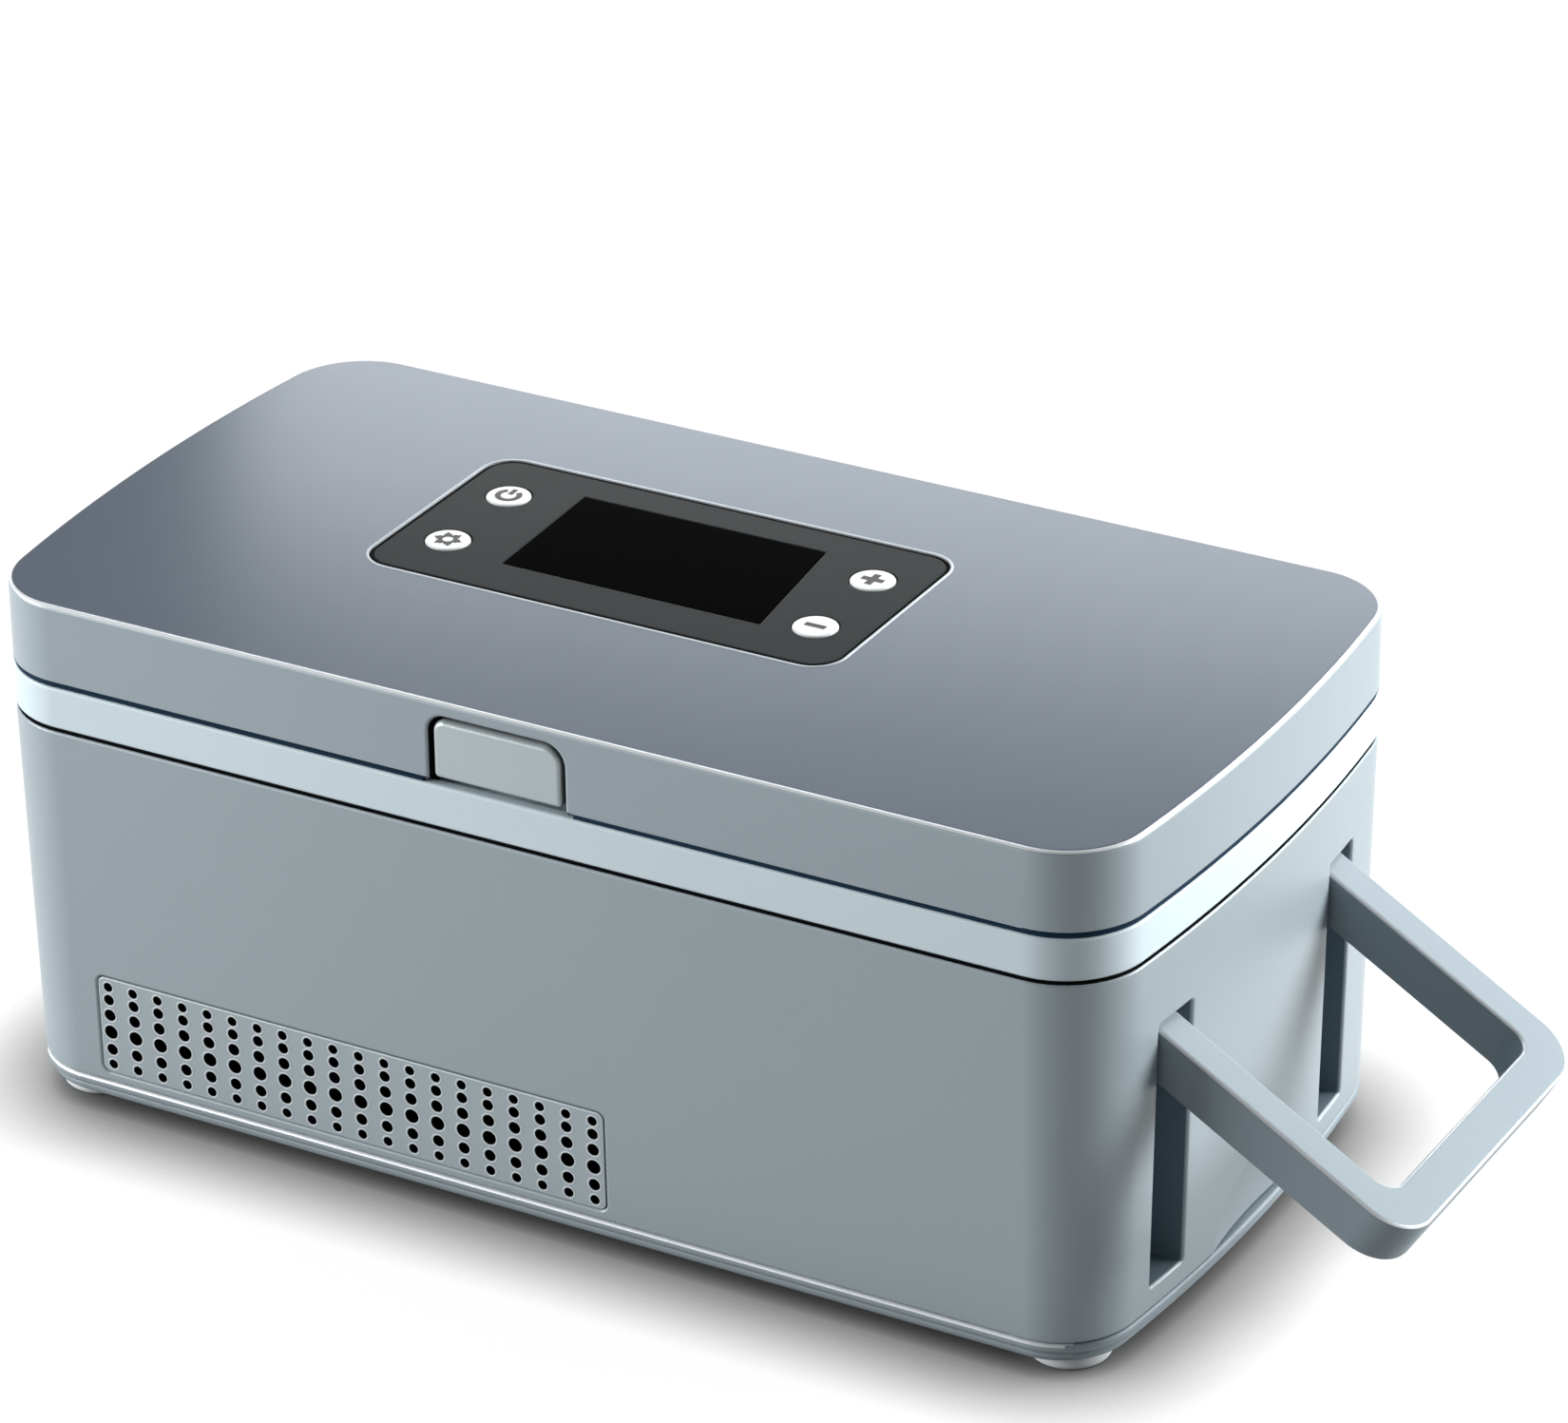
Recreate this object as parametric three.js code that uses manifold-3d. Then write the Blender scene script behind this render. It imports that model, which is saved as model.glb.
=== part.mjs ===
// Insulin cooling case: a thermoelectric travel cooler with a hinged lid, a press latch,
// four keys beside a display, a fold-out end handle and a vent grille over the fan.
// Millimetres, +Z up. The origin is the middle of the base cover's underside.
// +X points to the handle end, -Y to the front face with the latch and the grille.

import * as THREE from "three";
import { mergeVertices } from "three/addons/utils/BufferGeometryUtils.js";
import Module from "manifold-3d";

const wasm = await Module();
wasm.setup();

// Clearances shared by the whole case
const seat_gap = 0.3;
const overrun = 1;
const weld_distance = 0.002;

// Case outline seen from above: straight long sides, bowed ends, round corners
const case_length = 260;
const case_width = 134.6;
const end_bow = 5;
const corner_radius = 17.8;
const least_corner_radius = 1.5;
const corner_steps = 5;
const bow_steps = 4;
const small_corner_steps = 3;

// Heights of the stacked casings, from the underside up
const base_height = 4.6;
const body_height = 79.7;
const band_groove = 0.7;
const band_height = 9.2;
const lid_gap = 0.8;
const lid_height = 17.6;
const body_draft = THREE.MathUtils.degToRad(1.1);

const body_bottom_z = base_height;
const body_top_z = body_bottom_z + body_height;
const band_bottom_z = body_top_z + band_groove;
const band_top_z = band_bottom_z + band_height;
const lid_bottom_z = band_top_z + lid_gap;

// Walls
const housing_wall = 3;
const band_wall = 3;
const lid_wall = 2.6;
const lid_top_wall = 2.6;

// Round shapes
const round_steps = 10;
const fine_round_steps = 14;
const screw_head_steps = 8;
const pin_steps = 6;

const half_length = case_length / 2;
const half_width = case_width / 2;
const full_bow_radius = (half_width * half_width + end_bow * end_bow) / (2 * end_bow);
const bow_centre_x = half_length - full_bow_radius;

// Geometry helpers

function arcPoints(centre_x, centre_y, radius, from, to, steps) {
  const points = [];
  for (let i = 0; i <= steps; i += 1) {
    const angle = from + ((to - from) * i) / steps;
    points.push(
      new THREE.Vector2(centre_x + radius * Math.cos(angle), centre_y + radius * Math.sin(angle)),
    );
  }
  return points;
}

function withoutRepeats(points) {
  return points.filter((point, i) => {
    const before = points[(i + points.length - 1) % points.length];
    return point.distanceTo(before) > weld_distance;
  });
}

// The case outline, moved inwards by inset
function casePlan(inset) {
  const corner = Math.max(corner_radius - inset, least_corner_radius);
  const bow_radius = full_bow_radius - inset;
  const corner_y = half_width - inset - corner;
  const corner_x = bow_centre_x + Math.sqrt((bow_radius - corner) ** 2 - corner_y ** 2);
  const turn = Math.atan2(corner_y, corner_x - bow_centre_x);
  const quarter = Math.PI / 2;
  return withoutRepeats([
    ...arcPoints(corner_x, -corner_y, corner, -quarter, -turn, corner_steps),
    ...arcPoints(bow_centre_x, 0, bow_radius, -turn, turn, bow_steps),
    ...arcPoints(corner_x, corner_y, corner, turn, quarter, corner_steps),
    ...arcPoints(-corner_x, corner_y, corner, quarter, Math.PI - turn, corner_steps),
    ...arcPoints(-bow_centre_x, 0, bow_radius, Math.PI - turn, Math.PI + turn, bow_steps),
    ...arcPoints(-corner_x, -corner_y, corner, Math.PI + turn, Math.PI + quarter, corner_steps),
  ]);
}

function roundedRectangle(size_u, size_v, radius, steps = small_corner_steps) {
  const u = size_u / 2 - radius;
  const v = size_v / 2 - radius;
  const quarter = Math.PI / 2;
  return withoutRepeats([
    ...arcPoints(u, v, radius, 0, quarter, steps),
    ...arcPoints(-u, v, radius, quarter, 2 * quarter, steps),
    ...arcPoints(-u, -v, radius, 2 * quarter, 3 * quarter, steps),
    ...arcPoints(u, -v, radius, 3 * quarter, 4 * quarter, steps),
  ]);
}

function shapeOf(outline, holes = []) {
  const shape = new THREE.Shape(outline);
  holes.forEach((hole) => shape.holes.push(new THREE.Path(hole)));
  return shape;
}

// A prism that stands on an outline in X and Y
function prism(outline, z0, z1, holes = []) {
  return new THREE.ExtrudeGeometry(shapeOf(outline, holes), {
    depth: z1 - z0,
    bevelEnabled: false,
  }).translate(0, 0, z0);
}

// A prism along X, on an outline in Y and Z
function prismAlongX(outline, x0, x1) {
  const turn = new THREE.Matrix4().makeBasis(
    new THREE.Vector3(0, 1, 0),
    new THREE.Vector3(0, 0, 1),
    new THREE.Vector3(1, 0, 0),
  );
  return prism(outline, x0, x1).applyMatrix4(turn);
}

// A prism along Y, on an outline in X and Z
function prismAlongY(outline, y0, y1, holes = []) {
  const turn = new THREE.Matrix4().makeBasis(
    new THREE.Vector3(1, 0, 0),
    new THREE.Vector3(0, 0, 1),
    new THREE.Vector3(0, -1, 0),
  );
  return prism(outline, -y1, -y0, holes).applyMatrix4(turn);
}

function box(x0, x1, y0, y1, z0, z1) {
  return new THREE.BoxGeometry(x1 - x0, y1 - y0, z1 - z0).translate(
    (x0 + x1) / 2,
    (y0 + y1) / 2,
    (z0 + z1) / 2,
  );
}

function roundedBlock(x, y, size_x, size_y, radius, z0, z1) {
  return prism(roundedRectangle(size_x, size_y, radius), z0, z1).translate(x, y, 0);
}

function rodAlongZ(radius, x, y, z0, z1, steps = round_steps) {
  return new THREE.CylinderGeometry(radius, radius, z1 - z0, steps)
    .rotateX(Math.PI / 2)
    .translate(x, y, (z0 + z1) / 2);
}

function rodAlongY(radius, x, z, y0, y1, steps = round_steps) {
  return new THREE.CylinderGeometry(radius, radius, y1 - y0, steps).translate(x, (y0 + y1) / 2, z);
}

function rodAlongX(radius, y, z, x0, x1, steps = round_steps) {
  return new THREE.CylinderGeometry(radius, radius, x1 - x0, steps)
    .rotateZ(Math.PI / 2)
    .translate((x0 + x1) / 2, y, z);
}

// A solid through level outlines that have the same number of points
function loft(sections) {
  const count = sections[0].outline.length;
  const positions = [];
  const index = [];
  sections.forEach(({ outline, z }) => outline.forEach((p) => positions.push(p.x, p.y, z)));
  for (let level = 0; level + 1 < sections.length; level += 1) {
    for (let i = 0; i < count; i += 1) {
      const a = level * count + i;
      const b = level * count + ((i + 1) % count);
      index.push(a, b, b + count, a, b + count, a + count);
    }
  }
  const top = (sections.length - 1) * count;
  THREE.ShapeUtils.triangulateShape(sections[0].outline, []).forEach(([a, b, c]) => {
    index.push(c, b, a);
    index.push(top + a, top + b, top + c);
  });
  return new THREE.BufferGeometry()
    .setAttribute("position", new THREE.Float32BufferAttribute(positions, 3))
    .setIndex(index);
}

// A solid turned round the Z axis from radius and height pairs
function turned(profile, steps = round_steps) {
  const points = profile.map(([radius, height]) => new THREE.Vector2(radius, height));
  return new THREE.LatheGeometry(points, steps).rotateX(Math.PI / 2);
}

function toSolid(shape) {
  if (!shape.isBufferGeometry) return shape;
  const bare = shape.clone();
  bare.deleteAttribute("normal");
  bare.deleteAttribute("uv");
  const welded = mergeVertices(bare, weld_distance);
  return new wasm.Manifold(
    new wasm.Mesh({
      numProp: 3,
      vertProperties: welded.attributes.position.array,
      triVerts: new Uint32Array(welded.index.array),
    }),
  );
}

function join(...shapes) {
  return shapes.map(toSolid).reduce((whole, shape) => whole.add(shape));
}

function cut(shape, ...tools) {
  return tools.map(toSolid).reduce((whole, tool) => whole.subtract(tool), toSolid(shape));
}

function common(shape, other) {
  return toSolid(shape).intersect(toSolid(other));
}

function toGeometry(shape) {
  if (shape.isBufferGeometry) return shape;
  const mesh = shape.getMesh();
  const geometry = new THREE.BufferGeometry();
  geometry.setAttribute("position", new THREE.BufferAttribute(mesh.vertProperties, 3));
  geometry.setIndex(new THREE.BufferAttribute(mesh.triVerts, 1));
  const flat = geometry.toNonIndexed();
  flat.computeVertexNormals();
  return flat;
}

function addPart(group, name, shape, material) {
  const mesh = new THREE.Mesh(toGeometry(shape), material);
  mesh.name = name;
  group.add(mesh);
  return mesh;
}

function finish(color, roughness, metalness = 0) {
  return new THREE.MeshStandardMaterial({ color, roughness, metalness });
}

// Signs of the four corners, in the order of their names
const corners = [
  { name: "front_left", x: -1, y: -1 },
  { name: "front_right", x: 1, y: -1 },
  { name: "rear_left", x: -1, y: 1 },
  { name: "rear_right", x: 1, y: 1 },
];

// How far the drafted wall of the body has moved inwards at a height
function draftInset(z) {
  return (body_top_z - z) * Math.tan(body_draft);
}

// Feet and the screws hidden above them
const foot_end_inset = 17;
const foot_side_inset = 14.8;
const foot_radius = 8.5;
const foot_edge = 1.2;
const foot_height = 3.9;
const foot_recess = 1.2;
const screw_radius = 1.4;
const screw_head_radius = 2.8;
const screw_head_height = 1.6;
const screw_slot_width = 0.9;
const screw_tip_share = 0.4;
const base_screw_length = 15;
const boss_radius = 4.6;
const boss_rib = 2;

const foot_x = half_length - foot_end_inset;
const foot_y = half_width - foot_side_inset;

// Base cover
const base_floor = 2.4;
const base_inset = draftInset(body_bottom_z);
const bead_inset = 1.1;
const bead_edge = 0.4;
const trim_groove = 0.6;
const trim_groove_z = 2.1;
const register_thickness = 1.6;
const register_height = 2.1;
const screw_pad_radius = 6;
const screw_pad_top_z = 6.4;
const intake_margin = 5.9;
const intake_width = 3.2;
const intake_flat = 0.1;
const intake_count = 7;

// Cooling stack, on the grille's centre line
const fan_size = 60;
const fan_height = 15;
const fan_corner = 3;
const fan_rim = 1.6;
const fan_hub_radius = 12.4;
const fan_tip_gap = 2.2;
const fan_blade_count = 7;
const fan_blade_thickness = 1.2;
const fan_blade_root_share = 0.8;
const fan_blade_root_pitch = THREE.MathUtils.degToRad(48);
const fan_blade_tip_pitch = THREE.MathUtils.degToRad(32);
const fan_strut_height = 2;
const fan_strut_width = 3;
const fan_shaft_radius = 1.5;
const fan_hole_radius = 2.1;
const fan_hole_inset = 5;
const fan_post_radius = 1.7;
const sink_length = 96;
const sink_width = 100;
const sink_plate = 4;
const fin_height = 20;
const fin_thickness = 1.2;
const fin_count = 15;
const peltier_size = 40;
const peltier_corner = 0.5;
const peltier_thickness = 3.6;
const cold_block_size = 50;
const cold_block_height = 6.3;

const fan_bore_radius = fan_size / 2 - fan_rim;
const fan_blade_reach = fan_bore_radius - fan_tip_gap;
const fan_hole_pitch = fan_size - 2 * fan_hole_inset;
const intake_corner = intake_width / 2 - intake_flat;
const intake_pitch = (2 * (fan_bore_radius - intake_margin)) / (intake_count - 1);
const fan_bottom_z = base_floor + seat_gap;
const fan_top_z = fan_bottom_z + fan_height;
const fin_bottom_z = fan_top_z + seat_gap;
const fin_top_z = fin_bottom_z + fin_height;
const sink_top_z = fin_top_z + sink_plate;
const peltier_bottom_z = sink_top_z + seat_gap;
const cold_block_bottom_z = peltier_bottom_z + peltier_thickness + seat_gap;
const cold_block_top_z = cold_block_bottom_z + cold_block_height;

// Chamber, its foam and its tray
const chamber_corner = 12;
const chamber_corner_steps = 5;
const liner_wall = 1.5;
const liner_flange = 4.5;
const foam_end_room = 15;
const foam_side_room = 4.3;
const foam_end_wall = 17;
const foam_side_wall = 14;
const foam_corner = 14;
const deck_thickness = 2;
const deck_drop = 0.7;
const collar_skirt = 1.8;
const collar_skirt_depth = 6.7;
const collar_flange = 1.6;
const tray_play = 0.6;
const tray_wall = 2;
const tray_height = 17;
const tray_lanes = 4;
const finger_notch_radius = 14;
const finger_notch_lift = 3;
const probe_radius = 2;
const probe_length = 18;
const probe_x = 19;

const foam_length = case_length - 2 * (housing_wall + foam_end_room);
const foam_width = case_width - 2 * (housing_wall + foam_side_room);
const chamber_length = foam_length - 2 * foam_end_wall;
const chamber_width = foam_width - 2 * foam_side_wall;
const deck_top_z = band_top_z - deck_drop;
const deck_bottom_z = deck_top_z - deck_thickness;
const liner_top_z = deck_bottom_z - seat_gap;
const liner_bottom_z = cold_block_top_z + seat_gap;
const foam_bottom_z = peltier_bottom_z;
const foam_top_z = liner_top_z - liner_wall - seat_gap;
const boss_top_z = foam_bottom_z - seat_gap;

// Handle and its slots in the end wall
const slot_offset_y = -1.8;
const slot_bottom_z = 9.6;
const slot_wall = 1.8;
const handle_pivot_inset = 6.5;
const handle_pivot_drop = 21.5;
const handle_rest_angle = THREE.MathUtils.degToRad(31);
const handle_reach = 63.4;
const handle_width = 82;
const handle_arm = 8.4;
const handle_bar = 9;
const handle_depth = 10.4;
const handle_outer_corner = 10;
const handle_outer_steps = 6;
const handle_inner_corner = 4.6;
const handle_inner_steps = 4;
const handle_edge = 0.9;
const handle_front_play = 0.6;
const handle_rear_play = 3.4;
const handle_pin_radius = 1.5;

const handle_pivot_x = half_length - handle_pivot_inset;
const handle_pivot_z = body_top_z - handle_pivot_drop;
const slot_spacing = handle_width - handle_arm;
const slot_width = handle_arm + handle_front_play + handle_rear_play;
const slot_top_z = handle_pivot_z + handle_depth / 2 + seat_gap;
const slot_floor_x = handle_pivot_x - handle_depth / 2 - 2 * seat_gap;
const front_arm_y = slot_offset_y - slot_spacing / 2 - slot_width / 2 + handle_front_play;
const handle_y = front_arm_y + handle_width / 2;

// Finger scoop under the folded handle
const scoop_half_width = 20;
const scoop_height = 15;
const scoop_depth = 1.7;
const scoop_steps = 16;
const scoop_rings = 10;

// Vent grille: its rows of holes grow towards the middle
const grille_width = 119.6;
const grille_height = 22;
const grille_centre_z = 18.1;
const grille_corner = 1.4;
const grille_plate = 2.4;
const grille_sink = 0.3;
const grille_neck = 0.7;
const grille_flange = 2.2;
const grille_flange_thickness = 1.4;
const grille_columns = 20;
const grille_side_margin = 2.325;
const grille_end_margin = 26.7;
const grille_hole_radius = 1.5;
const grille_hole_steps = 6;
const grille_rows = [
  { rise_share: 0.818, size_share: 0.667 },
  { rise_share: 0.545, size_share: 0.767 },
  { rise_share: 0.218, size_share: 0.867 },
  { rise_share: -0.145, size_share: 1 },
  { rise_share: -0.518, size_share: 0.833 },
  { rise_share: -0.836, size_share: 0.667 },
];

const cooler_x = -half_length + grille_end_margin + grille_width / 2;
const grille_column_pitch = (grille_width - 2 * grille_side_margin) / (grille_columns - 1);

// Power inlet in the rear wall
const inlet_x = 19;
const inlet_z = 17;
const inlet_barrel_radius = 4.6;
const inlet_bore_radius = 3.1;
const inlet_bore_depth = 9;
const inlet_pin_radius = 1;
const inlet_body_size = 12;
const inlet_body_depth = 10;

// Control board and battery, in the right half of the base
const board_length = 66;
const board_front_room = 15.3;
const board_battery_gap = 7.4;
const board_thickness = 1.6;
const board_corner = 2;
const board_post_radius = 3;
const board_post_inset = 3.5;
const board_post_height = 6;
const capacitor_radius = 4;
const capacitor_height = 11;
const capacitor_pitch = 10;
const capacitor_count = 3;
const coil_size = 12;
const coil_corner = 2;
const coil_height = 6;
const controller_length = 14;
const controller_width = 9;
const controller_height = 1.6;
const socket_length = 10;
const socket_width = 6;
const socket_height = 7;
const socket_pitch = 15;
const socket_inset = 1;
const cell_radius = 9.2;
const cell_length = 66;
const cell_count = 3;
const cell_steps = 8;
const bracket_thickness = 1.2;
const bracket_width = 14;
const bracket_foot = 3.2;
const bracket_gap = 1.6;

const battery_x = (inlet_x + inlet_body_size / 2 + foot_x - boss_radius) / 2;
const register_inner_y =
  half_width - base_inset - housing_wall - seat_gap - register_thickness;
const bracket_reach = cell_count * cell_radius + seat_gap + bracket_thickness + bracket_foot;
const battery_y = register_inner_y - bracket_gap - bracket_reach;
const board_front_y = -half_width + board_front_room;
const board_rear_y = battery_y - cell_count * cell_radius - board_battery_gap;
const board_width = board_rear_y - board_front_y;
const board_x = battery_x;
const board_y = (board_front_y + board_rear_y) / 2;

// Lid hinge behind the rear wall
const hinge_radius = 4;
const hinge_pin_radius = 1.5;
const hinge_wall_gap = 0.4;
const hinge_spacing = 130;
const lid_knuckle_length = 18;
const case_knuckle_length = 9;
const knuckle_gap = 0.4;
const hinge_web_drop = 8;
const hinge_web_share = 0.7;

const hinge_y = half_width + hinge_wall_gap + hinge_radius;
const hinge_z = band_top_z + lid_gap / 2;

// Lid shell edges
const lid_edge = 1.2;
const lid_edge_steps = 3;

// Display panel in the lid top
const panel_x = -11.9;
const panel_y = 8;
const panel_length = 108;
const panel_width = 55.8;
const panel_corner = 6.5;
const panel_corner_steps = 5;
const bezel_thickness = 2.2;
const panel_ledge = 1.8;
const panel_opening_end_inset = 4.5;
const panel_opening_play = 2.6;
const panel_opening_corner = 4;
const window_x = 1.1;
const window_y = 1.5;
const window_end_room = 25;
const window_side_room = 10.5;
const window_left_lean = 1.4;
const window_right_lean = 4.3;
const window_corner = 0.8;
const window_sink = 0.2;
const lcd_border = 2;
const lcd_thickness = 4.5;
const display_board_end_inset = 2;
const display_board_side_inset = 2.9;
const display_post_gap = 5;
const display_post_inset = 3.5;
const display_post_radius = 2;

const panel_opening_length = panel_length - 2 * panel_opening_end_inset;
const window_length = panel_length - 2 * window_end_room;
const window_width = panel_width - 2 * window_side_room;
const window_thickness = bezel_thickness - window_sink;
const lcd_length = window_length + 2 * lcd_border;
const lcd_width = window_width + 2 * lcd_border;
const panel_opening_width = lcd_width + 2 * panel_opening_play;
const display_board_length = panel_length - 2 * display_board_end_inset;
const display_board_width = panel_width - 2 * display_board_side_inset;
const display_post_x = lcd_length / 2 + display_post_gap;
const display_post_y = display_board_width / 2 - display_post_inset;

// Keys on the display panel
const key_end_inset = 11.4;
const key_side_inset = 16;
const key_radius = 4.7;
const key_flange_radius = 5.5;
const key_flange_thickness = 0.8;
const key_proud = 0.2;
const key_travel = 0.5;
const key_switch_size = 6;
const key_switch_height = 2.8;
const key_plunger_radius = 1.7;
const key_reserve = 0.2;

const key_x = panel_length / 2 - key_end_inset;
const key_y = panel_width / 2 - key_side_inset;

// Lid liner, foam and seal
const liner_lift = 0.6;
const lid_liner_thickness = 2;
const plug_play = 1.5;
const plug_depth = 6.6;
const plug_wall = 1.6;
const gasket_width = 4.5;
const gasket_inset = 1.5;
const lid_boss_radius = 4;
const lid_boss_end_inset = 21;
const lid_boss_side_inset = 18.3;
const lid_screw_length = 9;
const lid_screw_head_height = 1;

const lid_boss_x = half_length - lid_boss_end_inset;
const lid_boss_y = half_width - lid_boss_side_inset;

// Press latch in the lid front
const latch_x = -5;
const latch_width = 29;
const latch_top_room = 4.1;
const latch_lift = 0.7;
const latch_corner = 3.8;
const latch_corner_steps = 5;
const latch_gap = 0.6;
const latch_cap = 3;
const latch_travel = 2;
const latch_body_width = 25;
const latch_body_play = 1.6;
const latch_body_rise = 1.5;
const latch_body_depth = 4.8;
const hook_width = 10;
const hook_thickness = 2;
const hook_drop = 8;
const barb_depth = 1.6;
const barb_height = 2.2;
const catch_relief = 0.5;
const catch_thickness = 1.2;
const catch_width = 22;
const guide_wall = 1.6;
const spring_space = 5;
const spring_radius = 2.4;
const spring_wire = 0.35;
const spring_turns = 4;
const spring_turn_steps = 8;
const spring_wire_steps = 4;

// Heights inside the lid, from the lid's bottom edge
const bezel_bottom = lid_height - bezel_thickness;
const recess_floor = bezel_bottom - seat_gap;
const ledge_bottom = recess_floor - panel_ledge;
const lid_ceiling = lid_height - lid_top_wall;
const lcd_top = bezel_bottom - seat_gap;
const lcd_bottom = lcd_top - lcd_thickness;
const display_board_top = lcd_bottom - seat_gap;
const display_board_bottom = display_board_top - board_thickness;
const liner_plate_top = liner_lift + lid_liner_thickness;
const latch_height = lid_height - latch_top_room - latch_lift;
const latch_body_top = lid_ceiling - seat_gap - guide_wall - latch_body_play;
const latch_body_height = latch_body_top - latch_body_rise;

// Depths of the latch, measured along Y in the case frame
const latch_face_y = -half_width;
const latch_cap_rear_y = latch_face_y + latch_cap;
const latch_body_rear_y = latch_cap_rear_y + latch_body_depth;
const hook_rear_y = latch_body_rear_y + hook_thickness;
const barb_tip_y = latch_body_rear_y - barb_depth;
const guide_rear_y = latch_body_rear_y + spring_space;

// The latch button seen from the front, grown by extra; its opening runs out below
function latchOutline(extra) {
  const left = latch_x - latch_width / 2 - extra;
  const right = latch_x + latch_width / 2 + extra;
  const radius = latch_corner + extra;
  const top = latch_lift + latch_height + extra;
  const bottom = extra > 0 ? -overrun : latch_lift;
  return [
    new THREE.Vector2(left, bottom),
    new THREE.Vector2(right, bottom),
    ...arcPoints(right - radius, top - radius, radius, 0, Math.PI / 2, latch_corner_steps),
    ...arcPoints(left + radius, top - radius, radius, Math.PI / 2, Math.PI, latch_corner_steps),
  ];
}

// Case body

function slotCentreY(side) {
  return slot_offset_y + (side * slot_spacing) / 2;
}

function bodyWall() {
  const outer = loft([
    { outline: casePlan(draftInset(body_bottom_z)), z: body_bottom_z },
    { outline: casePlan(0), z: body_top_z },
  ]);
  const low = body_bottom_z - overrun;
  const high = body_top_z + overrun;
  const inner = loft([
    { outline: casePlan(draftInset(low) + housing_wall), z: low },
    { outline: casePlan(draftInset(high) + housing_wall), z: high },
  ]);
  return { outer, inner };
}

// A dark channel in the end wall, in which one handle arm folds
function slotPocket(side, outer) {
  const y = slotCentreY(side);
  const reach = slot_width / 2 + slot_wall;
  return common(
    box(
      slot_floor_x - slot_wall,
      half_length + overrun,
      y - reach,
      y + reach,
      slot_bottom_z - slot_wall,
      slot_top_z + slot_wall,
    ),
    outer,
  );
}

function slotCut(side) {
  const y = slotCentreY(side);
  return box(
    slot_floor_x,
    half_length + overrun,
    y - slot_width / 2,
    y + slot_width / 2,
    slot_bottom_z,
    slot_top_z,
  );
}

function handlePinHole(side) {
  const y = slotCentreY(side);
  const reach = slot_width / 2 + slot_wall + overrun;
  return rodAlongY(
    handle_pin_radius + seat_gap,
    handle_pivot_x,
    handle_pivot_z,
    y - reach,
    y + reach,
    pin_steps,
  );
}

function screwBoss(corner) {
  const x = corner.x * foot_x;
  const y = corner.y * foot_y;
  const low = screw_pad_top_z + seat_gap;
  const corner_centre_y = half_width - corner_radius;
  const rib_length = corner_radius + corner_centre_y - foot_y - housing_wall / 2;
  const rib = box(0, rib_length, -boss_rib / 2, boss_rib / 2, low, boss_top_z)
    .rotateZ(Math.atan2(corner.y, corner.x))
    .translate(x, y, 0);
  return join(rodAlongZ(boss_radius, x, y, low, boss_top_z), rib);
}

function scoop() {
  const end_x = half_length - draftInset(body_bottom_z);
  return new THREE.SphereGeometry(1, scoop_steps, scoop_rings)
    .scale(scoop_depth, scoop_half_width, scoop_height)
    .translate(end_x, 0, body_bottom_z);
}

function makeHousing() {
  const { outer, inner } = bodyWall();
  const slots = [-1, 1];
  const pocketed = join(cut(outer, inner), ...slots.map((side) => slotPocket(side, outer)));
  const bossed = join(pocketed, ...corners.map(screwBoss));
  const shaft_holes = corners.map((corner) =>
    rodAlongZ(
      screw_radius + seat_gap,
      corner.x * foot_x,
      corner.y * foot_y,
      screw_pad_top_z - overrun,
      boss_top_z + overrun,
      pin_steps,
    ),
  );
  const window_size = [grille_width + 2 * seat_gap, grille_height + 2 * seat_gap];
  const window = prismAlongY(
    roundedRectangle(...window_size, grille_corner + seat_gap),
    -2 * housing_wall,
    2 * housing_wall,
  )
    .rotateX(body_draft)
    .translate(cooler_x, grilleFaceY(), grille_centre_z);
  const inlet_hole = rodAlongY(
    inlet_barrel_radius + seat_gap,
    inlet_x,
    inlet_z,
    half_width - 2 * housing_wall,
    half_width + overrun,
  );
  return cut(
    bossed,
    ...slots.map(slotCut),
    ...slots.map(handlePinHole),
    ...shaft_holes,
    window,
    inlet_hole,
    scoop(),
  );
}

// Where the drafted front face stands at the grille's middle
function grilleFaceY() {
  return -half_width + draftInset(grille_centre_z);
}

// The profile of the two trim beads round the base, from the underside up
function baseSections() {
  const upper = base_inset;
  const lower = base_inset + bead_inset;
  const groove = lower + trim_groove;
  const rim_top = body_bottom_z - seat_gap;
  return [
    { inset: lower + bead_edge, z: 0 },
    { inset: lower, z: bead_edge },
    { inset: lower, z: trim_groove_z - bead_edge },
    { inset: groove, z: trim_groove_z },
    { inset: upper, z: trim_groove_z + bead_edge },
    { inset: upper, z: rim_top },
  ].map(({ inset, z }) => ({ outline: casePlan(inset), z }));
}

function intakeSlots() {
  const reach = fan_bore_radius - intake_width;
  return Array.from({ length: intake_count }, (_, i) => {
    const y = (i - (intake_count - 1) / 2) * intake_pitch;
    const length = 2 * Math.sqrt(reach ** 2 - y ** 2);
    const outline = roundedRectangle(length, intake_width, intake_corner);
    return prism(outline, -overrun, base_floor + overrun).translate(cooler_x, y, 0);
  });
}

function boardPosts(radius, low, high) {
  const x = board_length / 2 - board_post_inset;
  const y = board_width / 2 - board_post_inset;
  return corners.map((corner) =>
    rodAlongZ(radius, board_x + corner.x * x, board_y + corner.y * y, low, high, pin_steps),
  );
}

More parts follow.
